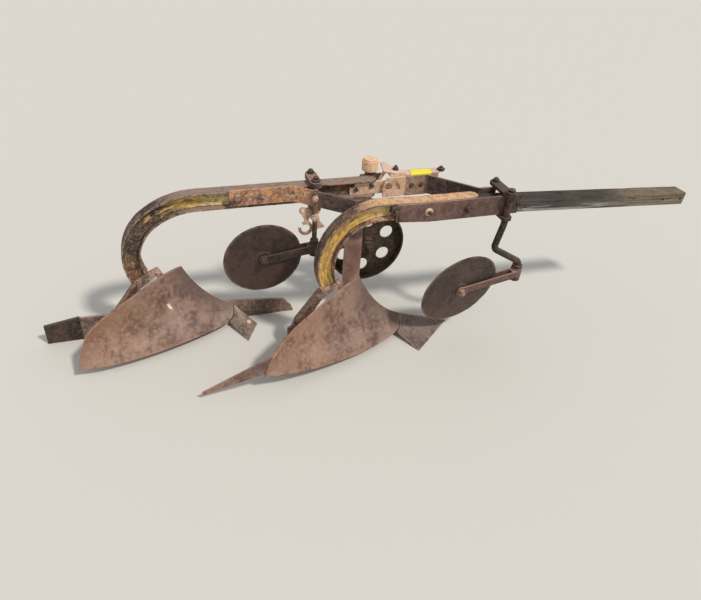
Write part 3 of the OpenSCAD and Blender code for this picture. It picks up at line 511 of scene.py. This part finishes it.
def makeBeam(node, finish, endX, shift, seed):
    # The I-section carried along the beam's line; the front end is rounded in plan.
    s, half, w = beamShape, beamShape["depth"] / 2, beam["width"] / 2
    e, r, t = half - s["flangeEdge"], half - s["flangeRoot"], s["webThick"] / 2
    corners = [(-half, -w), (-e, -w), (-r, -t), (r, -t), (e, -w), (half, -w),
               (half, w), (e, w), (r, t), (-r, t), (-e, w), (-half, w)]
    radii = [s["outer"], s["toe"], s["root"], s["root"], s["toe"], s["outer"]] * 2
    loop = roundedLoop(corners, radii, s["spacing"])
    line, out = beamLine(endX, **s[node])
    depth, across = loop[:, 0], loop[:, 1]
    rows = np.arange(len(line))
    reach = np.sqrt(np.clip(w * w - np.clip(line[:, 0] - (endX - w), 0, w) ** 2, 4, None))
    reach = np.where(rows < len(s["tip"]), reach, w)
    y = np.clip(across, -reach[:, None], reach[:, None])
    points = xyz(line[:, None, 0] + out[:, None, 0] * depth, y, line[:, None, 1] + out[:, None, 1] * depth)
    n = np.cross(np.gradient(points, axis=0), np.roll(points, -1, axis=1) - np.roll(points, 1, axis=1))
    n /= np.maximum(np.linalg.norm(n, axis=-1, keepdims=True), 1e-6)
    n = n * np.sign(n[60, int(np.argmax(depth)), 2])  # in row 60, which is straight, the top faces up
    lumps = grain(points, s["lumpSize"], seed) * s["lump"] + grain(points, s["pitSize"], seed + 1) * s["pit"]
    points = points + n * (lumps * smooth(rows, 1, 14)[:, None])[..., None] - n * s["sunk"]
    run = np.concatenate([[0], np.cumsum(np.linalg.norm(np.diff(line, axis=0), axis=1))])[:, None]
    wear = (np.abs(np.abs(y) - w) < 3.2) & (np.abs(np.abs(depth) - half + 4) < 6)
    # Paint holds on the web, and a little on the flanges; on the far beam it thins out down the sweep.
    web = (1 - smooth(np.abs(y), 5, 16)) * (1 - smooth(np.abs(depth), r - 3, r + 2))
    left = run / run[-1]
    if node == "near_beam":
        hold, bleach = 0.39 + 0.21 * web + 0.03 * smooth(left, 0.6, 0.95), 0.6 * smooth(left, 0.62, 0.5)
    else:
        kept = smooth(run, 560, 640) * (1 - 0.75 * smooth(left, 0.6, 0.8))
        hold, bleach = 0.33 + 0.27 * web * kept, 0.85 * smooth(left, 0.62, 0.52)
    points += np.array([0, beam["web"], 0]) + np.array(shift)
    marks = {"section": xyz(run, depth, y) * mm, "wear": wear, "paint": hold, "bleach": bleach}
    return makePiece(node + "_rolled", points, tubeFaces(*points.shape[:2]), finish, marks=marks,
                     replaced=[node])


makeBeam("near_beam", rust["beam"], beam["nearEnd"], (0, 0, 0), 3)
makeBeam("far_beam", rust["farBeam"], beam["farEnd"] + bodyGap, rearShift, 9)
print("beams made")


# Moldboards, shares and tail strip. Each sheet has its length and width along the surface, a round rim, and
# the number of cells between its rims.
boardFoot = [[141, 0, 87], [112, -58, 34], [-62, -155, 38]]  # what both boards share of their outline
boardHead = [[-74, 0, 328], [-135, -26, 318], [-205, -58, 294], [-300, -100, 256]]
board = dict(
    thick=8, edgeY=-6.3, size=(800, 300), rim=3.2, cells=(120, 64), scratch=(8, 27),
    front=dict(foot=boardFoot + [[-265, -225, 52], [-440, -266, 72], [-560, -276, 90]],
               head=boardHead + [[-420, -168, 214], [-515, -255, 162]], scratchGlint=None),
    # the rear board has one scratch, painted near white as a glint
    rear=dict(foot=boardFoot + [[-265, -225, 38], [-430, -262, 42], [-532, -270, 56]],
              head=boardHead + [[-410, -162, 218], [-478, -223, 187]], scratchGlint=(0.367, 0.585)),
    hollow=[[30], [38], [42], [36], [22], [8]],
)
share = dict(thick=10, size=(200, 260), rim=2.2, cells=(44, 50), wing=np.array([176, -192, 1]),
             front=np.array([400, -6.3, 1]), rear=np.array([240, -72, 1]))
strip = dict(thick=7, size=(320, 200), rim=2.4, cells=(60, 30), rows=(1.0, 9.0),
             tip=np.array([-806, -262, 28]), tipLean=12, columns=9, seated=3)


def along(rows, t):
    # Catmull-Rom curve through the rows, with t from 0 to 1.
    rows = np.asarray(rows, float)
    n = len(rows) - 1
    s = np.minimum(np.asarray(t, float) * n, n - 1e-5)
    i = np.floor(s).astype(int)
    f = (s - i)[..., None]
    a, b, c, d = (rows[np.clip(i + k, 0, n)] for k in (-1, 0, 1, 2))
    return 0.5 * (2 * b + (c - a) * f + (2 * a - 5 * b + 4 * c - d) * f ** 2 + (3 * b - a - 3 * c + d) * f ** 3)


def boardAt(which, u, v):
    # Straight line from foot to head at u, pushed back by 4v(1-v) times the hollow at u.
    u, v = np.broadcast_arrays(u, v)
    a, b = along(board[which]["foot"], u), along(board[which]["head"], u)
    push = unit(xyz(-0.5, 0.55 * np.minimum(u * 3, 1), -0.67))
    return a + (b - a) * v[..., None] + push * (4 * v * (1 - v))[..., None] * along(board["hollow"], u)


def boardNormal(which, u, v):
    u, v = np.broadcast_arrays(u, v)
    u0, u1, v0, v1 = (np.clip(x, 0, 1) for x in (u - 0.01, u + 0.01, v - 0.01, v + 0.01))
    n = unit(np.cross(boardAt(which, u1, v) - boardAt(which, u0, v),
                      boardAt(which, u, v1) - boardAt(which, u, v0)))
    n[..., 1] *= np.minimum(u * 8, 1)
    return unit(n)


def boardBack(which, u, v, gap):
    return boardAt(which, u, v) + [0, board["edgeY"], 0] + (board["thick"] + gap) * boardNormal(which, u, v)


def rimmed(count, length, rim):
    # Places from 0 to 1 over a length: close together in the rims, then even.
    edge = np.array([0, 0.03, 0.12, 0.28, 0.5, 0.75, 1.0]) * rim / length
    return np.concatenate([edge, np.linspace(edge[-1], 1 - edge[-1], count)[1:-1], 1 - edge[::-1]])


def sheetGrid(sheet):
    u, v = (rimmed(count, length, sheet["rim"]) for count, length in zip(sheet["cells"], sheet["size"]))
    return u, v, *np.meshgrid(u, v, indexing="ij")


def thickSheet(node, sheet, middle, outward, half, u, v, finish, flow, scratchGlint=np.zeros(1)):
    # Two skins at +half and -half along outward from the middle surface. In the rim the half thickness
    # falls to zero as the quarter of a circle does, so that the edge is round and closed.
    lu, lv = sheet["size"]
    away = np.minimum(np.minimum(u * lu, (1 - u) * lu)[:, None], np.minimum(v * lv, (1 - v) * lv)[None])
    t = np.clip(away / sheet["rim"], 0, 1)
    h = (half * np.sqrt(1 - (1 - t) ** 2))[..., None]
    nu, nv = middle.shape[:2]
    points = np.concatenate([(middle + outward * h).reshape(-1, 3), (middle - outward * h).reshape(-1, 3)])
    faces = gridFaces(nu, nv) + [f[::-1] for f in gridFaces(nu, nv, start=nu * nv)]
    marks = {"flow": np.tile(flow.reshape(-1, 3), (2, 1)),
             "rim": np.tile((1 - smooth(away, 1.5, 9)).ravel(), 2),
             "scratchGlint": np.tile(np.broadcast_to(scratchGlint, (nu, nv)).ravel(), 2)}
    return makePiece(node + "_plate", points, faces, finish, replaced=[node], marks=marks)


def makeBoard(which, shift, seed):
    u, v, uu, vv = sheetGrid(board)
    lu, lv = board["size"]
    n = boardNormal(which, uu, vv)
    middle = boardAt(which, uu, vv) + [0, board["edgeY"], 0] + n * board["thick"] / 2
    inside = smooth(np.minimum(np.minimum(uu, 1 - uu) * lu, np.minimum(vv, 1 - vv) * lv), 2, 30)
    lumps = grain(middle, 110, seed) * 0.9 + grain(middle, 34, seed + 1) * 0.35
    middle = middle + n * (inside * lumps)[..., None]
    mark, scratchGlint = board[which]["scratchGlint"], np.zeros(1)
    if mark:  # a scratch, its bare metal painted near white as a glint: a narrow ellipse that runs up the board
        wide, high = board["scratch"]
        scratchGlint = 1 - smooth(np.hypot((uu - mark[0]) * lu / wide, (vv - mark[1]) * lv / high), 0.4, 1)
    return thickSheet(which + "_moldboard", board, middle + np.array(shift), n, board["thick"] / 2 - 0.1, u, v,
                      soil["board"], xyz(uu * lu * mm, vv * lv * mm, 0), scratchGlint)


def makeShare(which, finish, shift, seed):
    # Top skin: from the foot of the board (u = 0) straight to the cutting edge (u = 1), point to wing over v.
    u, v, uu, vv = sheetGrid(share)
    rear = boardAt("front", vv / 5, 0 * vv) + [0.6, board["edgeY"], -3]
    edge = share[which] * (1 - vv)[..., None] + share["wing"] * vv[..., None]
    top = rear * (1 - uu)[..., None] + edge * uu[..., None]
    half = share["thick"] * (1.05 - uu) / 2  # the cutting edge keeps a twentieth of the thickness
    up = xyz(0, 0, np.ones_like(uu))
    middle = top - up * half[..., None]
    calm = smooth(np.minimum(uu, 1 - uu) * share["size"][0], 0, 20)
    middle[..., 2] += calm * (grain(middle, 60, seed) * 0.6)
    return thickSheet(which + "_share", share, middle + np.array(shift), up, half, u, v, finish,
                      xyz((1 - uu) * 0.2, vv * 0.26, 0))


def makeTailStrip():
    # Lies on the board's back for three columns, then every row runs straight to the tip.
    u, v, uu, j = sheetGrid(strip)
    i, seated = uu * strip["columns"], strip["seated"]
    low, high = strip["rows"]
    row = (low + (high - low) * j) / 9
    base = boardBack("front", (15 + np.minimum(i, seated)) / 18, row, 0.3)
    k = (np.maximum(i - seated, 0) / (strip["columns"] - seated))[..., None]
    tip = strip["tip"] + xyz(0, 0, strip["tipLean"] * j)
    n = boardNormal("front", 0.95 + 0 * j, row)
    middle = base + (tip - base) * k + n * strip["thick"] / 2
    return thickSheet("tail_strip", strip, middle, n, np.full(i.shape, strip["thick"] / 2 - 0.1), u, v,
                      soil["board"], xyz(i / 9 * 0.32, j * 0.2, 0))


makeBoard("front", (0, 0, 0), 5)
makeBoard("rear", rearShift, 15)
makeShare("front", soil["frontShare"], (0, 0, 0), 7)
makeShare("rear", soil["share"], rearShift, 17)
makeTailStrip()
print("soil parts made")


# Timber pole.
pole = dict(x=430, z=642, width=80, height=63, length=1146, droop=3, hole=7, holes=(26, 134),
            corner=5, spacing=2.6, rows=230, end=4, crackDepth=3.2, sharp=50, sunk=0.2)


def makePole():
    # A rounded box section carried along the pole; cracks are narrow bands of a noise that is long in x.
    p, length, end = pole, pole["length"], pole["end"]
    hw, hh = p["width"] / 2 - p["sunk"], p["height"] / 2 - p["sunk"]
    loop = boxLoop(hw, hh, p["corner"], p["spacing"])
    xs = rimmed(p["rows"], length, end) * length
    fromEnd = np.minimum(xs, length - xs)
    inset = np.sqrt(1 - (1 - np.clip(fromEnd / end, 0, 1)) ** 2)
    scaleY, scaleZ = (hw - end * (1 - inset)) / hw, (hh - end * (1 - inset)) / hh
    y, z = loop.T
    points = xyz(xs[:, None], y * scaleY[:, None], z * scaleZ[:, None])
    out = unit(xyz(0, y / hw ** 0.5 * np.abs(y / hw) ** 6, z / hh ** 0.5 * np.abs(z / hh) ** 6) + 1e-9)
    long = points * [1 / 26, 1, 1]
    crack = 1 - smooth(np.abs(grain(long, 11, 4) + 0.35 * grain(long, 4.5, 6)), 0.02, 0.15)
    crack = crack * smooth(grain(points * [1 / 3, 1, 1], 40, 8), -0.15, 0.35)
    calm = smooth(fromEnd, 2, 10)[:, None] * 0.8 + 0.2
    depth = crack * p["crackDepth"] * calm + 0.5 * (1 + grain(long, 3, 2)) * 0.6
    depth = depth + 0.4 * (1 + grain(points, 55, 3))
    points = points - out[None] * depth[..., None]
    turn = np.array(Matrix.Rotation(math.radians(p["droop"]), 3, "Y"))
    place = [p["x"], nearSide + p["width"] / 2, p["z"]]
    marks = {"crack": crack, "height": z / hh, "end": (1 - smooth(fromEnd, 0.5, 6))[:, None]}
    obj = makePiece("pole_timber", points @ turn.T + place, tubeFaces(*points.shape[:2]), timber,
                    replaced=["pole"], marks=marks)
    for back in p["holes"]:
        bm = bmesh.new()
        axis = Matrix.Rotation(math.radians(90), 4, "X")
        spot = turn @ np.array([length - back, 0, 0]) + place
        bmesh.ops.create_cone(bm, cap_ends=True, segments=32, radius1=p["hole"] * mm, radius2=p["hole"] * mm,
                              depth=1.5 * p["width"] * mm, matrix=Matrix.Translation(Vector(spot * mm)) @ axis)
        cutter = linked("hole", bpy.data.meshes.new("hole"))
        bm.to_mesh(cutter.data)
        bm.free()
        cut = obj.modifiers.new("cut", "BOOLEAN")
        cut.operation, cut.object, cut.solver = "DIFFERENCE", cutter, "EXACT"
        bpy.context.view_layer.update()
        done = bpy.data.meshes.new_from_object(obj.evaluated_get(bpy.context.evaluated_depsgraph_get()))
        obj.modifiers.clear()
        obj.data = done
        bpy.data.objects.remove(cutter)
    obj.data.set_sharp_from_angle(angle=math.radians(p["sharp"]))
    return obj


makePole()
print("pole made")


# Coulter discs.
disc = dict(
    profile=[(10.1, 7.6), (10.8, 8), (35, 8), (36.3, 7.2), (38.5, 3.4), (41, 2.5), (60, 2.5), (90, 2.5),
             (120, 2.5), (150, 2.5)],
    edge=[(-22, 2.5), (-15, 2.45), (-12, 2.1), (-6, 1.25), (-1.6, 0.5), (-0.4, 0.25)],
    sides=180, spacing=6,
    front=dict(radius=195, pivot=(680, -79.8, 330), trail=317, drop=58, turn=7.5, lean=10.5),
    rear=dict(radius=178, pivot=(-234, 188.2, 420), trail=235, drop=58, turn=2.5, lean=5),
)


def discPlace(which):
    # The disc's middle and the matrix that leans it about X, then turns it about Z.
    place = disc[which]
    turn = np.array(Matrix.Rotation(math.radians(place["turn"]), 3, "Z"))
    lean = np.array(Matrix.Rotation(math.radians(place["lean"]), 3, "X"))
    return np.array(place["pivot"]) + turn @ np.array([-place["trail"], 0, -place["drop"]]), turn @ lean


def makeDisc(which, seed):
    # The half profile turned about the axle; the rim is nicked and the plate a little out of true.
    radius = disc[which]["radius"]
    half = np.array(disc["profile"] + [(radius + back, t) for back, t in disc["edge"]])
    rows = []
    for (r0, t0), (r1, t1) in zip(half[:-1], half[1:]):
        parts = max(1, int((r1 - r0) / disc["spacing"]))
        rows += [(r0 + (r1 - r0) * k / parts, t0 + (t1 - t0) * k / parts) for k in range(parts)]
    rows = np.array(rows + [half[-1]])
    loop = np.concatenate([rows, rows[::-1] * [1, -1]])
    a = np.linspace(0, 2 * math.pi, disc["sides"], endpoint=False)
    ring = xyz(np.cos(a), 0, np.sin(a))
    nick = grain(ring * radius, 26, seed) * 0.9 + grain(ring * radius, 7, seed + 1) * 0.5 - 1.2
    rim = smooth(loop[:, 0], radius - 40, radius)
    r = loop[None, :, 0] + nick[:, None] * rim[None]
    points = ring[:, None] * r[..., None]
    plate = smooth(loop[:, 0], 44, 120)
    warp = grain(points, 150, seed + 2) * 1.1 + grain(points, 40, seed + 3) * 0.3
    points[..., 1] = loop[None, :, 1] + warp * plate[None]
    centre, turned = discPlace(which)
    node = which + "_coulter_disc"
    marks = {"flow": xyz(a[:, None] * 0.19, loop[:, 0] * mm, 0),
             "rim": smooth(loop[:, 0], radius - 14, radius - 3)}
    faces = gridFaces(*points.shape[:2], closeU=True, closeV=True)
    return makePiece(node + "_plate", points @ turned.T + centre, faces, soil["disc"], body=node,
                     replaced=[node], marks=marks)


makeDisc("front", 21)
makeDisc("rear", 31)
print("discs made")


# Softened plates, castings and bars: rust, slot, width of the rounded corner, nodes.
wornNodes = [
    ("side", "plate_rust", 1.4, "near_side_plate"),
    ("plate", "plate_rust", 1.4, "screw_bracket"),
    ("brace", "plate_rust", 1.4, "rear_brace"),
    ("diagonal", "plate_rust", 1.4, "front_brace"),
    ("pale", "pale_rust", 1.3, "far_channel channel_gusset channel_splice channel_cleat cross_bar drag_hook"),
    ("frog", "frog_iron", 2.0, "front_frog rear_frog"),
    ("iron", "frog_iron", 2.0, "front_stay rear_stay"),
    ("land", "board_rust", 1.6, "front_landside rear_landside"),
    ("screw", "plate_rust", 2.0, "lift_screw"),
    ("dark", "plate_rust", 1.5, "front_coulter_clamp front_coulter_stem rear_coulter_stem wheel_arm rear_heel"),
    ("tube", "frog_iron", 1.6, "wheel_post"),
    ("plate", "plate_rust", 1.6, "rear_coulter_clamp"),
    ("wheel", "wheel_iron", 1.6, "land_wheel"),
    ("plate", "plate_rust", 1.2, "front_coulter_yoke"),
    ("dark", "plate_rust", 1.2, "rear_coulter_yoke"),
]
moving = ("land_wheel", "front_coulter_yoke", "rear_coulter_yoke")
# The far beam is rolled thinner than its stand-in, so the post's head and the clamp's jaws are packed to it:
# points between two heights, and how far they go up.
packed = dict(wheel_post=[(591, 593, 14)], rear_coulter_clamp=[(591, 592, 13.5), (692, 693, -9.5)])
for key, slot, width, names in wornNodes:
    for name in names.split():
        softened(name, rust[key], width, name if name in moving else "frame", packed.get(name, ()))
print("plates and castings made")


# Bolts and nuts. A kind has its number of sides, its widest radius and its last row's radius, both as a share
# of the half width across flats. A capped nut has a thin cap over its chamfer.
boltShape = dict(hex=(6, 1.13, 0.6), square=(4, 1.34, 0.6), capped=(6, 1.13, np.inf), sides=36,
                 seat=-0.6, middle=0.02, washer=2.6, threadSides=24, pitch=2.2, thread=0.5)


def spun(rows, sides, outline=np.inf):
    # Rows of (radius, height) turned about the axis; no radius goes past the outline.
    a = np.linspace(0, 2 * math.pi, sides, endpoint=False)
    r, z = np.asarray(rows, float).T[..., None]
    r = np.minimum(r, outline) + 0 * a
    return xyz(r * np.cos(a), r * np.sin(a), z)


def boltHead(kind, size, height):
    # From the seat to the middle: the side's radius is size / cos(angle from the flat's middle), cut by a cone
    # for the chamfer; a dome's rows follow a quarter ellipse.
    sides, seat, middle = boltShape["sides"], boltShape["seat"], boltShape["middle"]
    if kind == "round":
        t = np.linspace(0, math.pi / 2, 8)[:-1]
        return spun([(size, seat), *zip(size * np.cos(t), height * np.sin(t)), (middle, height)], sides)
    flats, widest, top = boltShape[kind]
    part = 2 * math.pi / flats
    a = np.linspace(0, 2 * math.pi, sides, endpoint=False)
    outline = np.minimum(size / np.cos((a + part / 2) % part - part / 2), size * widest)
    return spun([(np.inf, seat), (np.inf, height * 0.8), (size * 1.1, height * 0.9), (size * 0.97, height),
                 (size * top, height * 1.01), (middle, height * 1.01)], sides, outline)


def boltGrids(kind, size, height, stub=None, washer=0):
    # A fastener as stacked grids: washer, head, and the thread's end that stands out of a nut.
    grids, base, middle = [], 0, boltShape["middle"]
    if washer:
        base = boltShape["washer"]
        grids.append(spun([(washer, -0.5), (washer, base - 0.8), (washer - 0.8, base), (middle, base)],
                          boltShape["sides"]))
    grids.append(boltHead(kind, size, height) + [0, 0, base])
    if stub:
        radius, length = stub
        z = np.linspace(0, length, max(6, int(length * 2)))
        r = radius + boltShape["thread"] * np.sin(z * 2 * math.pi / boltShape["pitch"])
        end = base + height + length + 0.8
        grids.append(spun([*zip(r, base + height + z), (radius - 1, end), (middle, end)],
                          boltShape["threadSides"]))
    return grids


def fasten(name, key, rows, body="frame"):
    # rows: place, outward direction, kind, half width across flats, height, thread's (radius, length), washer
    points, faces, wear, start = [], [], [], 0
    for k, (place, out, *shape) in enumerate(rows):
        z = unit(out)
        x = unit(np.cross([0.31, 0.21, 0.93], z))
        x = x * math.cos(0.7 * k) + np.cross(z, x) * math.sin(0.7 * k)  # each is turned further round
        axes = np.stack([x, np.cross(z, x), z])
        for grid in boltGrids(*shape):
            nu, nv = grid.shape[:2]
            p = grid.reshape(-1, 3) @ axes + np.array(place)
            points.append(p + (grain(p, 6, k) * 0.25)[:, None] * z)
            faces += gridFaces(nu, nv, closeV=True, start=start)
            wear.append(np.repeat(np.linspace(0, 1, nu) > 0.35, nv).astype(float) * 0.7)
            start += nu * nv
    return makePiece(name, np.concatenate(points), faces, rust[key], body=body, sharp=34,
                     marks={"wear": np.concatenate(wear)})


nearFace, braceFace = nearSide - plateThick, farSide - plateThick  # outer faces of side plate and rear brace
right, up, down = (0, -1, 0), (0, 0, 1), (0, 0, -1)
fasteners = {
    "side_plate_bolts": ("dark", [
        ((33, nearSide + 6, 668), right, "hex", 20, 17, (9, 12)),
        ((58, nearFace, 640), right, "square", 11, 9),
        ((183, nearFace - 6, 651), right, "square", 8, 10, (5, 8)),
        ((365, nearFace, 649), right, "square", 12, 12, (7, 9)),
        ((612, nearFace, 652), right, "round", 12, 6),
        ((630, nearFace, 628), right, "round", 8, 4)]),
    "side_plate_washer": ("pale", [((183, nearFace, 651), right, "round", 16, 6, None, 18)]),
    "rear_brace_bolts": ("iron", [
        ((-564, braceFace, 656), right, "round", 19, 15),
        ((-464, braceFace, 660), right, "hex", 14, 13, (8, 6)),
        ((-330, braceFace, 668), right, "round", 9, 5)]),
    "brace_end_block": ("dark", [((-590, braceFace, 640), right, "square", 9, 12)]),
    "splice_bolts": ("dark", [
        ((-59, 217.2, 660), right, "round", 11, 7),
        ((-42, 217.2, 640), right, "square", 9, 7),
        ((30, 217.2, 652), right, "square", 9, 7),
        ((-163, 227.5, 648), right, "round", 10, 6)]),
    "channel_bolts": ("dark", [
        ((366, 226, 698), up, "square", 14, 12, (7, 7)),
        ((152, 250, 706.3), up, "hex", 11, 9, (6, 7), 15),
        ((215, 198.6, 648), right, "round", 12, 6),
        ((262, 198.6, 648), right, "round", 12, 6)]),
    "clamp_nuts": ("dark", [
        ((552, 51.5, 706.3), up, "hex", 13.5, 12, (9, 6)),
        ((552, 51.5, 588.5), down, "hex", 13.5, 12, (9, 4)),
        ((552, -79.8, 706.3), up, "hex", 21, 11, (14.4, 12)),
        ((-234, 276.5, 706.3), up, "hex", 13.5, 12, (9, 6)),
        ((-234, 276.5, 577.7), down, "hex", 13.5, 12, (9, 4)),
        ((-234, 188.2, 706.3), up, "hex", 17, 10, (10.6, 12))]),
}
for name, (key, rows) in fasteners.items():
    fasten(name, key, rows)
strap = dict(x=-246, width=17, thick=7, corner=1.6, span=(548, 702), gap=0.4, bendX=-330,
             footX=-112, lump=0.5, lumpSize=40)


def makeStrap():
    # A flat strap that stands on the rear brace's near face, where the brace slants to the near beam.
    s, halfPlate = strap, plateThick / 2
    farY, nearY = farSide - halfPlate, nearSide + beam["width"] + halfPlate
    slant = unit([s["footX"] - s["bendX"], nearY - farY])
    out = np.array([slant[1], -slant[0]])
    y = farY + (s["x"] - s["bendX"]) * slant[1] / slant[0]
    middle = np.array([s["x"], y]) + out * (halfPlate + s["gap"] + s["thick"] / 2)
    w, t = s["width"] / 2, s["thick"] / 2
    loop = boxLoop(w, t, s["corner"], 3)
    foot, head = s["span"]
    zs = rimmed(40, head - foot, 2) * (head - foot)
    points = np.empty((len(zs), len(loop), 3))
    points[..., :2] = middle + loop[None, :, :1] * slant + loop[None, :, 1:] * out
    points[..., 2] = foot + zs[:, None]
    points[..., :2] += out * (grain(points, s["lumpSize"], 2) * s["lump"])[..., None]
    makePiece("brace_strap", points, tubeFaces(*points.shape[:2]), rust["iron"], sharp=40)
    x, y = middle + out * t
    fasten("strap_nuts", "pale", [
        ((x, y, 664), (*out, 0), "hex", 12, 10, (7, 6)),
        ((x + 3, y - 2, 578), (*out, 0), "square", 14, 14, (7, 10))])


makeStrap()
fasten("wheel_axle_nut", "dark", [((70, 276, 287), right, "hex", 17, 12, (10, 9), 24)])
for which, key in (("front", "iron"), ("rear", "dark")):
    centre, turned = discPlace(which)
    axle = turned @ [0, 1, 0]
    fasten(which + "_axle_nuts", key, [(centre + side * axle * 19, side * axle, "capped", 15, 11, (9, 7), 20)
                                       for side in (-1, 1)], body=which + "_coulter_yoke")
fasten("rear_share_bolt", "pale", [((-544.4, 175.0, 21.6), (0.388, -0.330, 0.861), "round", 8, 3, None, 11)])
print("bolts made")


# Bare yellow tag.
tag = dict(x=(205, 306), lead=14, y=(206.9, 246), z=699, down=13, thick=0.9, bend=3.0,
           curl=0.9, columns=26, rows=(14, 8, 8))


def makeTag():
    # A thin strip bent over the flange's near edge: flat on top, a quarter bend, then down the web's face.
    flatRows, bendRows, dropRows = tag["rows"]
    u = np.linspace(0, 1, tag["columns"])
    turn = np.linspace(0, math.pi / 2, bendRows)
    y0, y1 = tag["y"]
    z, r = tag["z"], tag["bend"]
    flat = np.stack([np.linspace(y1, y0 + r, flatRows), np.full(flatRows, z)], axis=1)
    arc = np.stack([y0 + r - r * np.sin(turn), z - r + r * np.cos(turn)], axis=1)[1:]
    drop = np.stack([np.full(dropRows, y0), np.linspace(z - r, z - r - tag["down"], dropRows)], axis=1)[1:]
    line = np.concatenate([flat, arc, drop])
    n = np.gradient(line, axis=0)
    n = unit(np.stack([-n[:, 1], n[:, 0]], axis=1))
    n = np.where((n @ np.array([-0.3, 1.0]))[:, None] < 0, -n, n)
    lean = np.linspace(1, 0, len(line))
    x = tag["x"][0] + (tag["x"][1] - tag["x"][0]) * u[:, None] + tag["lead"] * lean[None]
    lift = tag["curl"] * np.sin(u * math.pi * 2.2)[:, None] ** 2 * np.linspace(1, 0.2, len(line))[None]
    above, under = (xyz(x, line[:, 0] + n[:, 0] * off, line[:, 1] + n[:, 1] * off)
                    for off in (lift + tag["thick"], lift))
    nu, nv = lift.shape
    faces = gridFaces(nu, 2 * nv, closeV=True)
    for first in (0, (nu - 1) * 2 * nv):  # the two ends, closed from skin to skin
        last = first + 2 * nv - 1
        faces += [[first + k, first + k + 1, last - 1 - k, last - k] for k in range(nv - 1)]
    points = np.concatenate([above, under[:, ::-1]], axis=1)
    return makePiece("tag", points, faces, tagYellow, sharp=40)


makeTag()
print("tag made")


# Floor, light and camera.
reach = 40  # half the floor's side, in metres
floorMesh = bpy.data.meshes.new("floor")
floorMesh.from_pydata([(-reach, -reach, 0), (reach, -reach, 0), (reach, reach, 0), (-reach, reach, 0)], [],
                      [(0, 1, 2, 3)])
floorMesh.materials.append(Finish("paleFloor", "d6d2ca").close(0.95, []))
floor = linked("floor", floorMesh)

light = dict(sun=2.2, soft=6, sunFrom=(0.5, -0.62, 1.0), sunColour=(1.0, 0.965, 0.9),
             world=0.55, worldColour=(0.93, 0.96, 1.0, 1))
sun = linked("sun", bpy.data.lights.new("sun", "SUN"))
sun.data.energy = light["sun"]
sun.data.angle = math.radians(light["soft"])
sun.data.color = light["sunColour"]
sun.rotation_euler = Vector(light["sunFrom"]).to_track_quat("Z", "Y").to_euler()
world = bpy.data.worlds.new("studio")
bpy.context.scene.world = world
world.use_nodes = True
sky = world.node_tree.nodes["Background"]
sky.inputs["Color"].default_value = light["worldColour"]
sky.inputs["Strength"].default_value = light["world"]

view = dict(place=(-0.8764, -2.0278, 1.7560), yaw=0.3621, pitch=0.6217, roll=-0.0794,
            focal=588.7392, width=701, sensor=36)
yaw, pitch, roll = view["yaw"], view["pitch"], view["roll"]
level = Vector((math.cos(yaw), -math.sin(yaw), 0))
ahead = Vector((math.sin(yaw) * math.cos(pitch), math.cos(yaw) * math.cos(pitch), -math.sin(pitch)))
below = ahead.cross(level)
rightward = math.cos(roll) * level + math.sin(roll) * below
downward = -math.sin(roll) * level + math.cos(roll) * below
camera = linked("camera", bpy.data.cameras.new("camera"))
camera.data.sensor_width = view["sensor"]
camera.data.lens = view["focal"] / view["width"] * view["sensor"]
camera.data.sensor_fit = "HORIZONTAL"
camera.data.clip_end = 200
camera.matrix_world = Matrix.Translation(Vector(view["place"])) @ Matrix(
    (rightward, -downward, -ahead)).transposed().to_4x4()
bpy.context.scene.camera = camera
bpy.context.scene.view_settings.view_transform = "Standard"
print("floor, light and camera set")
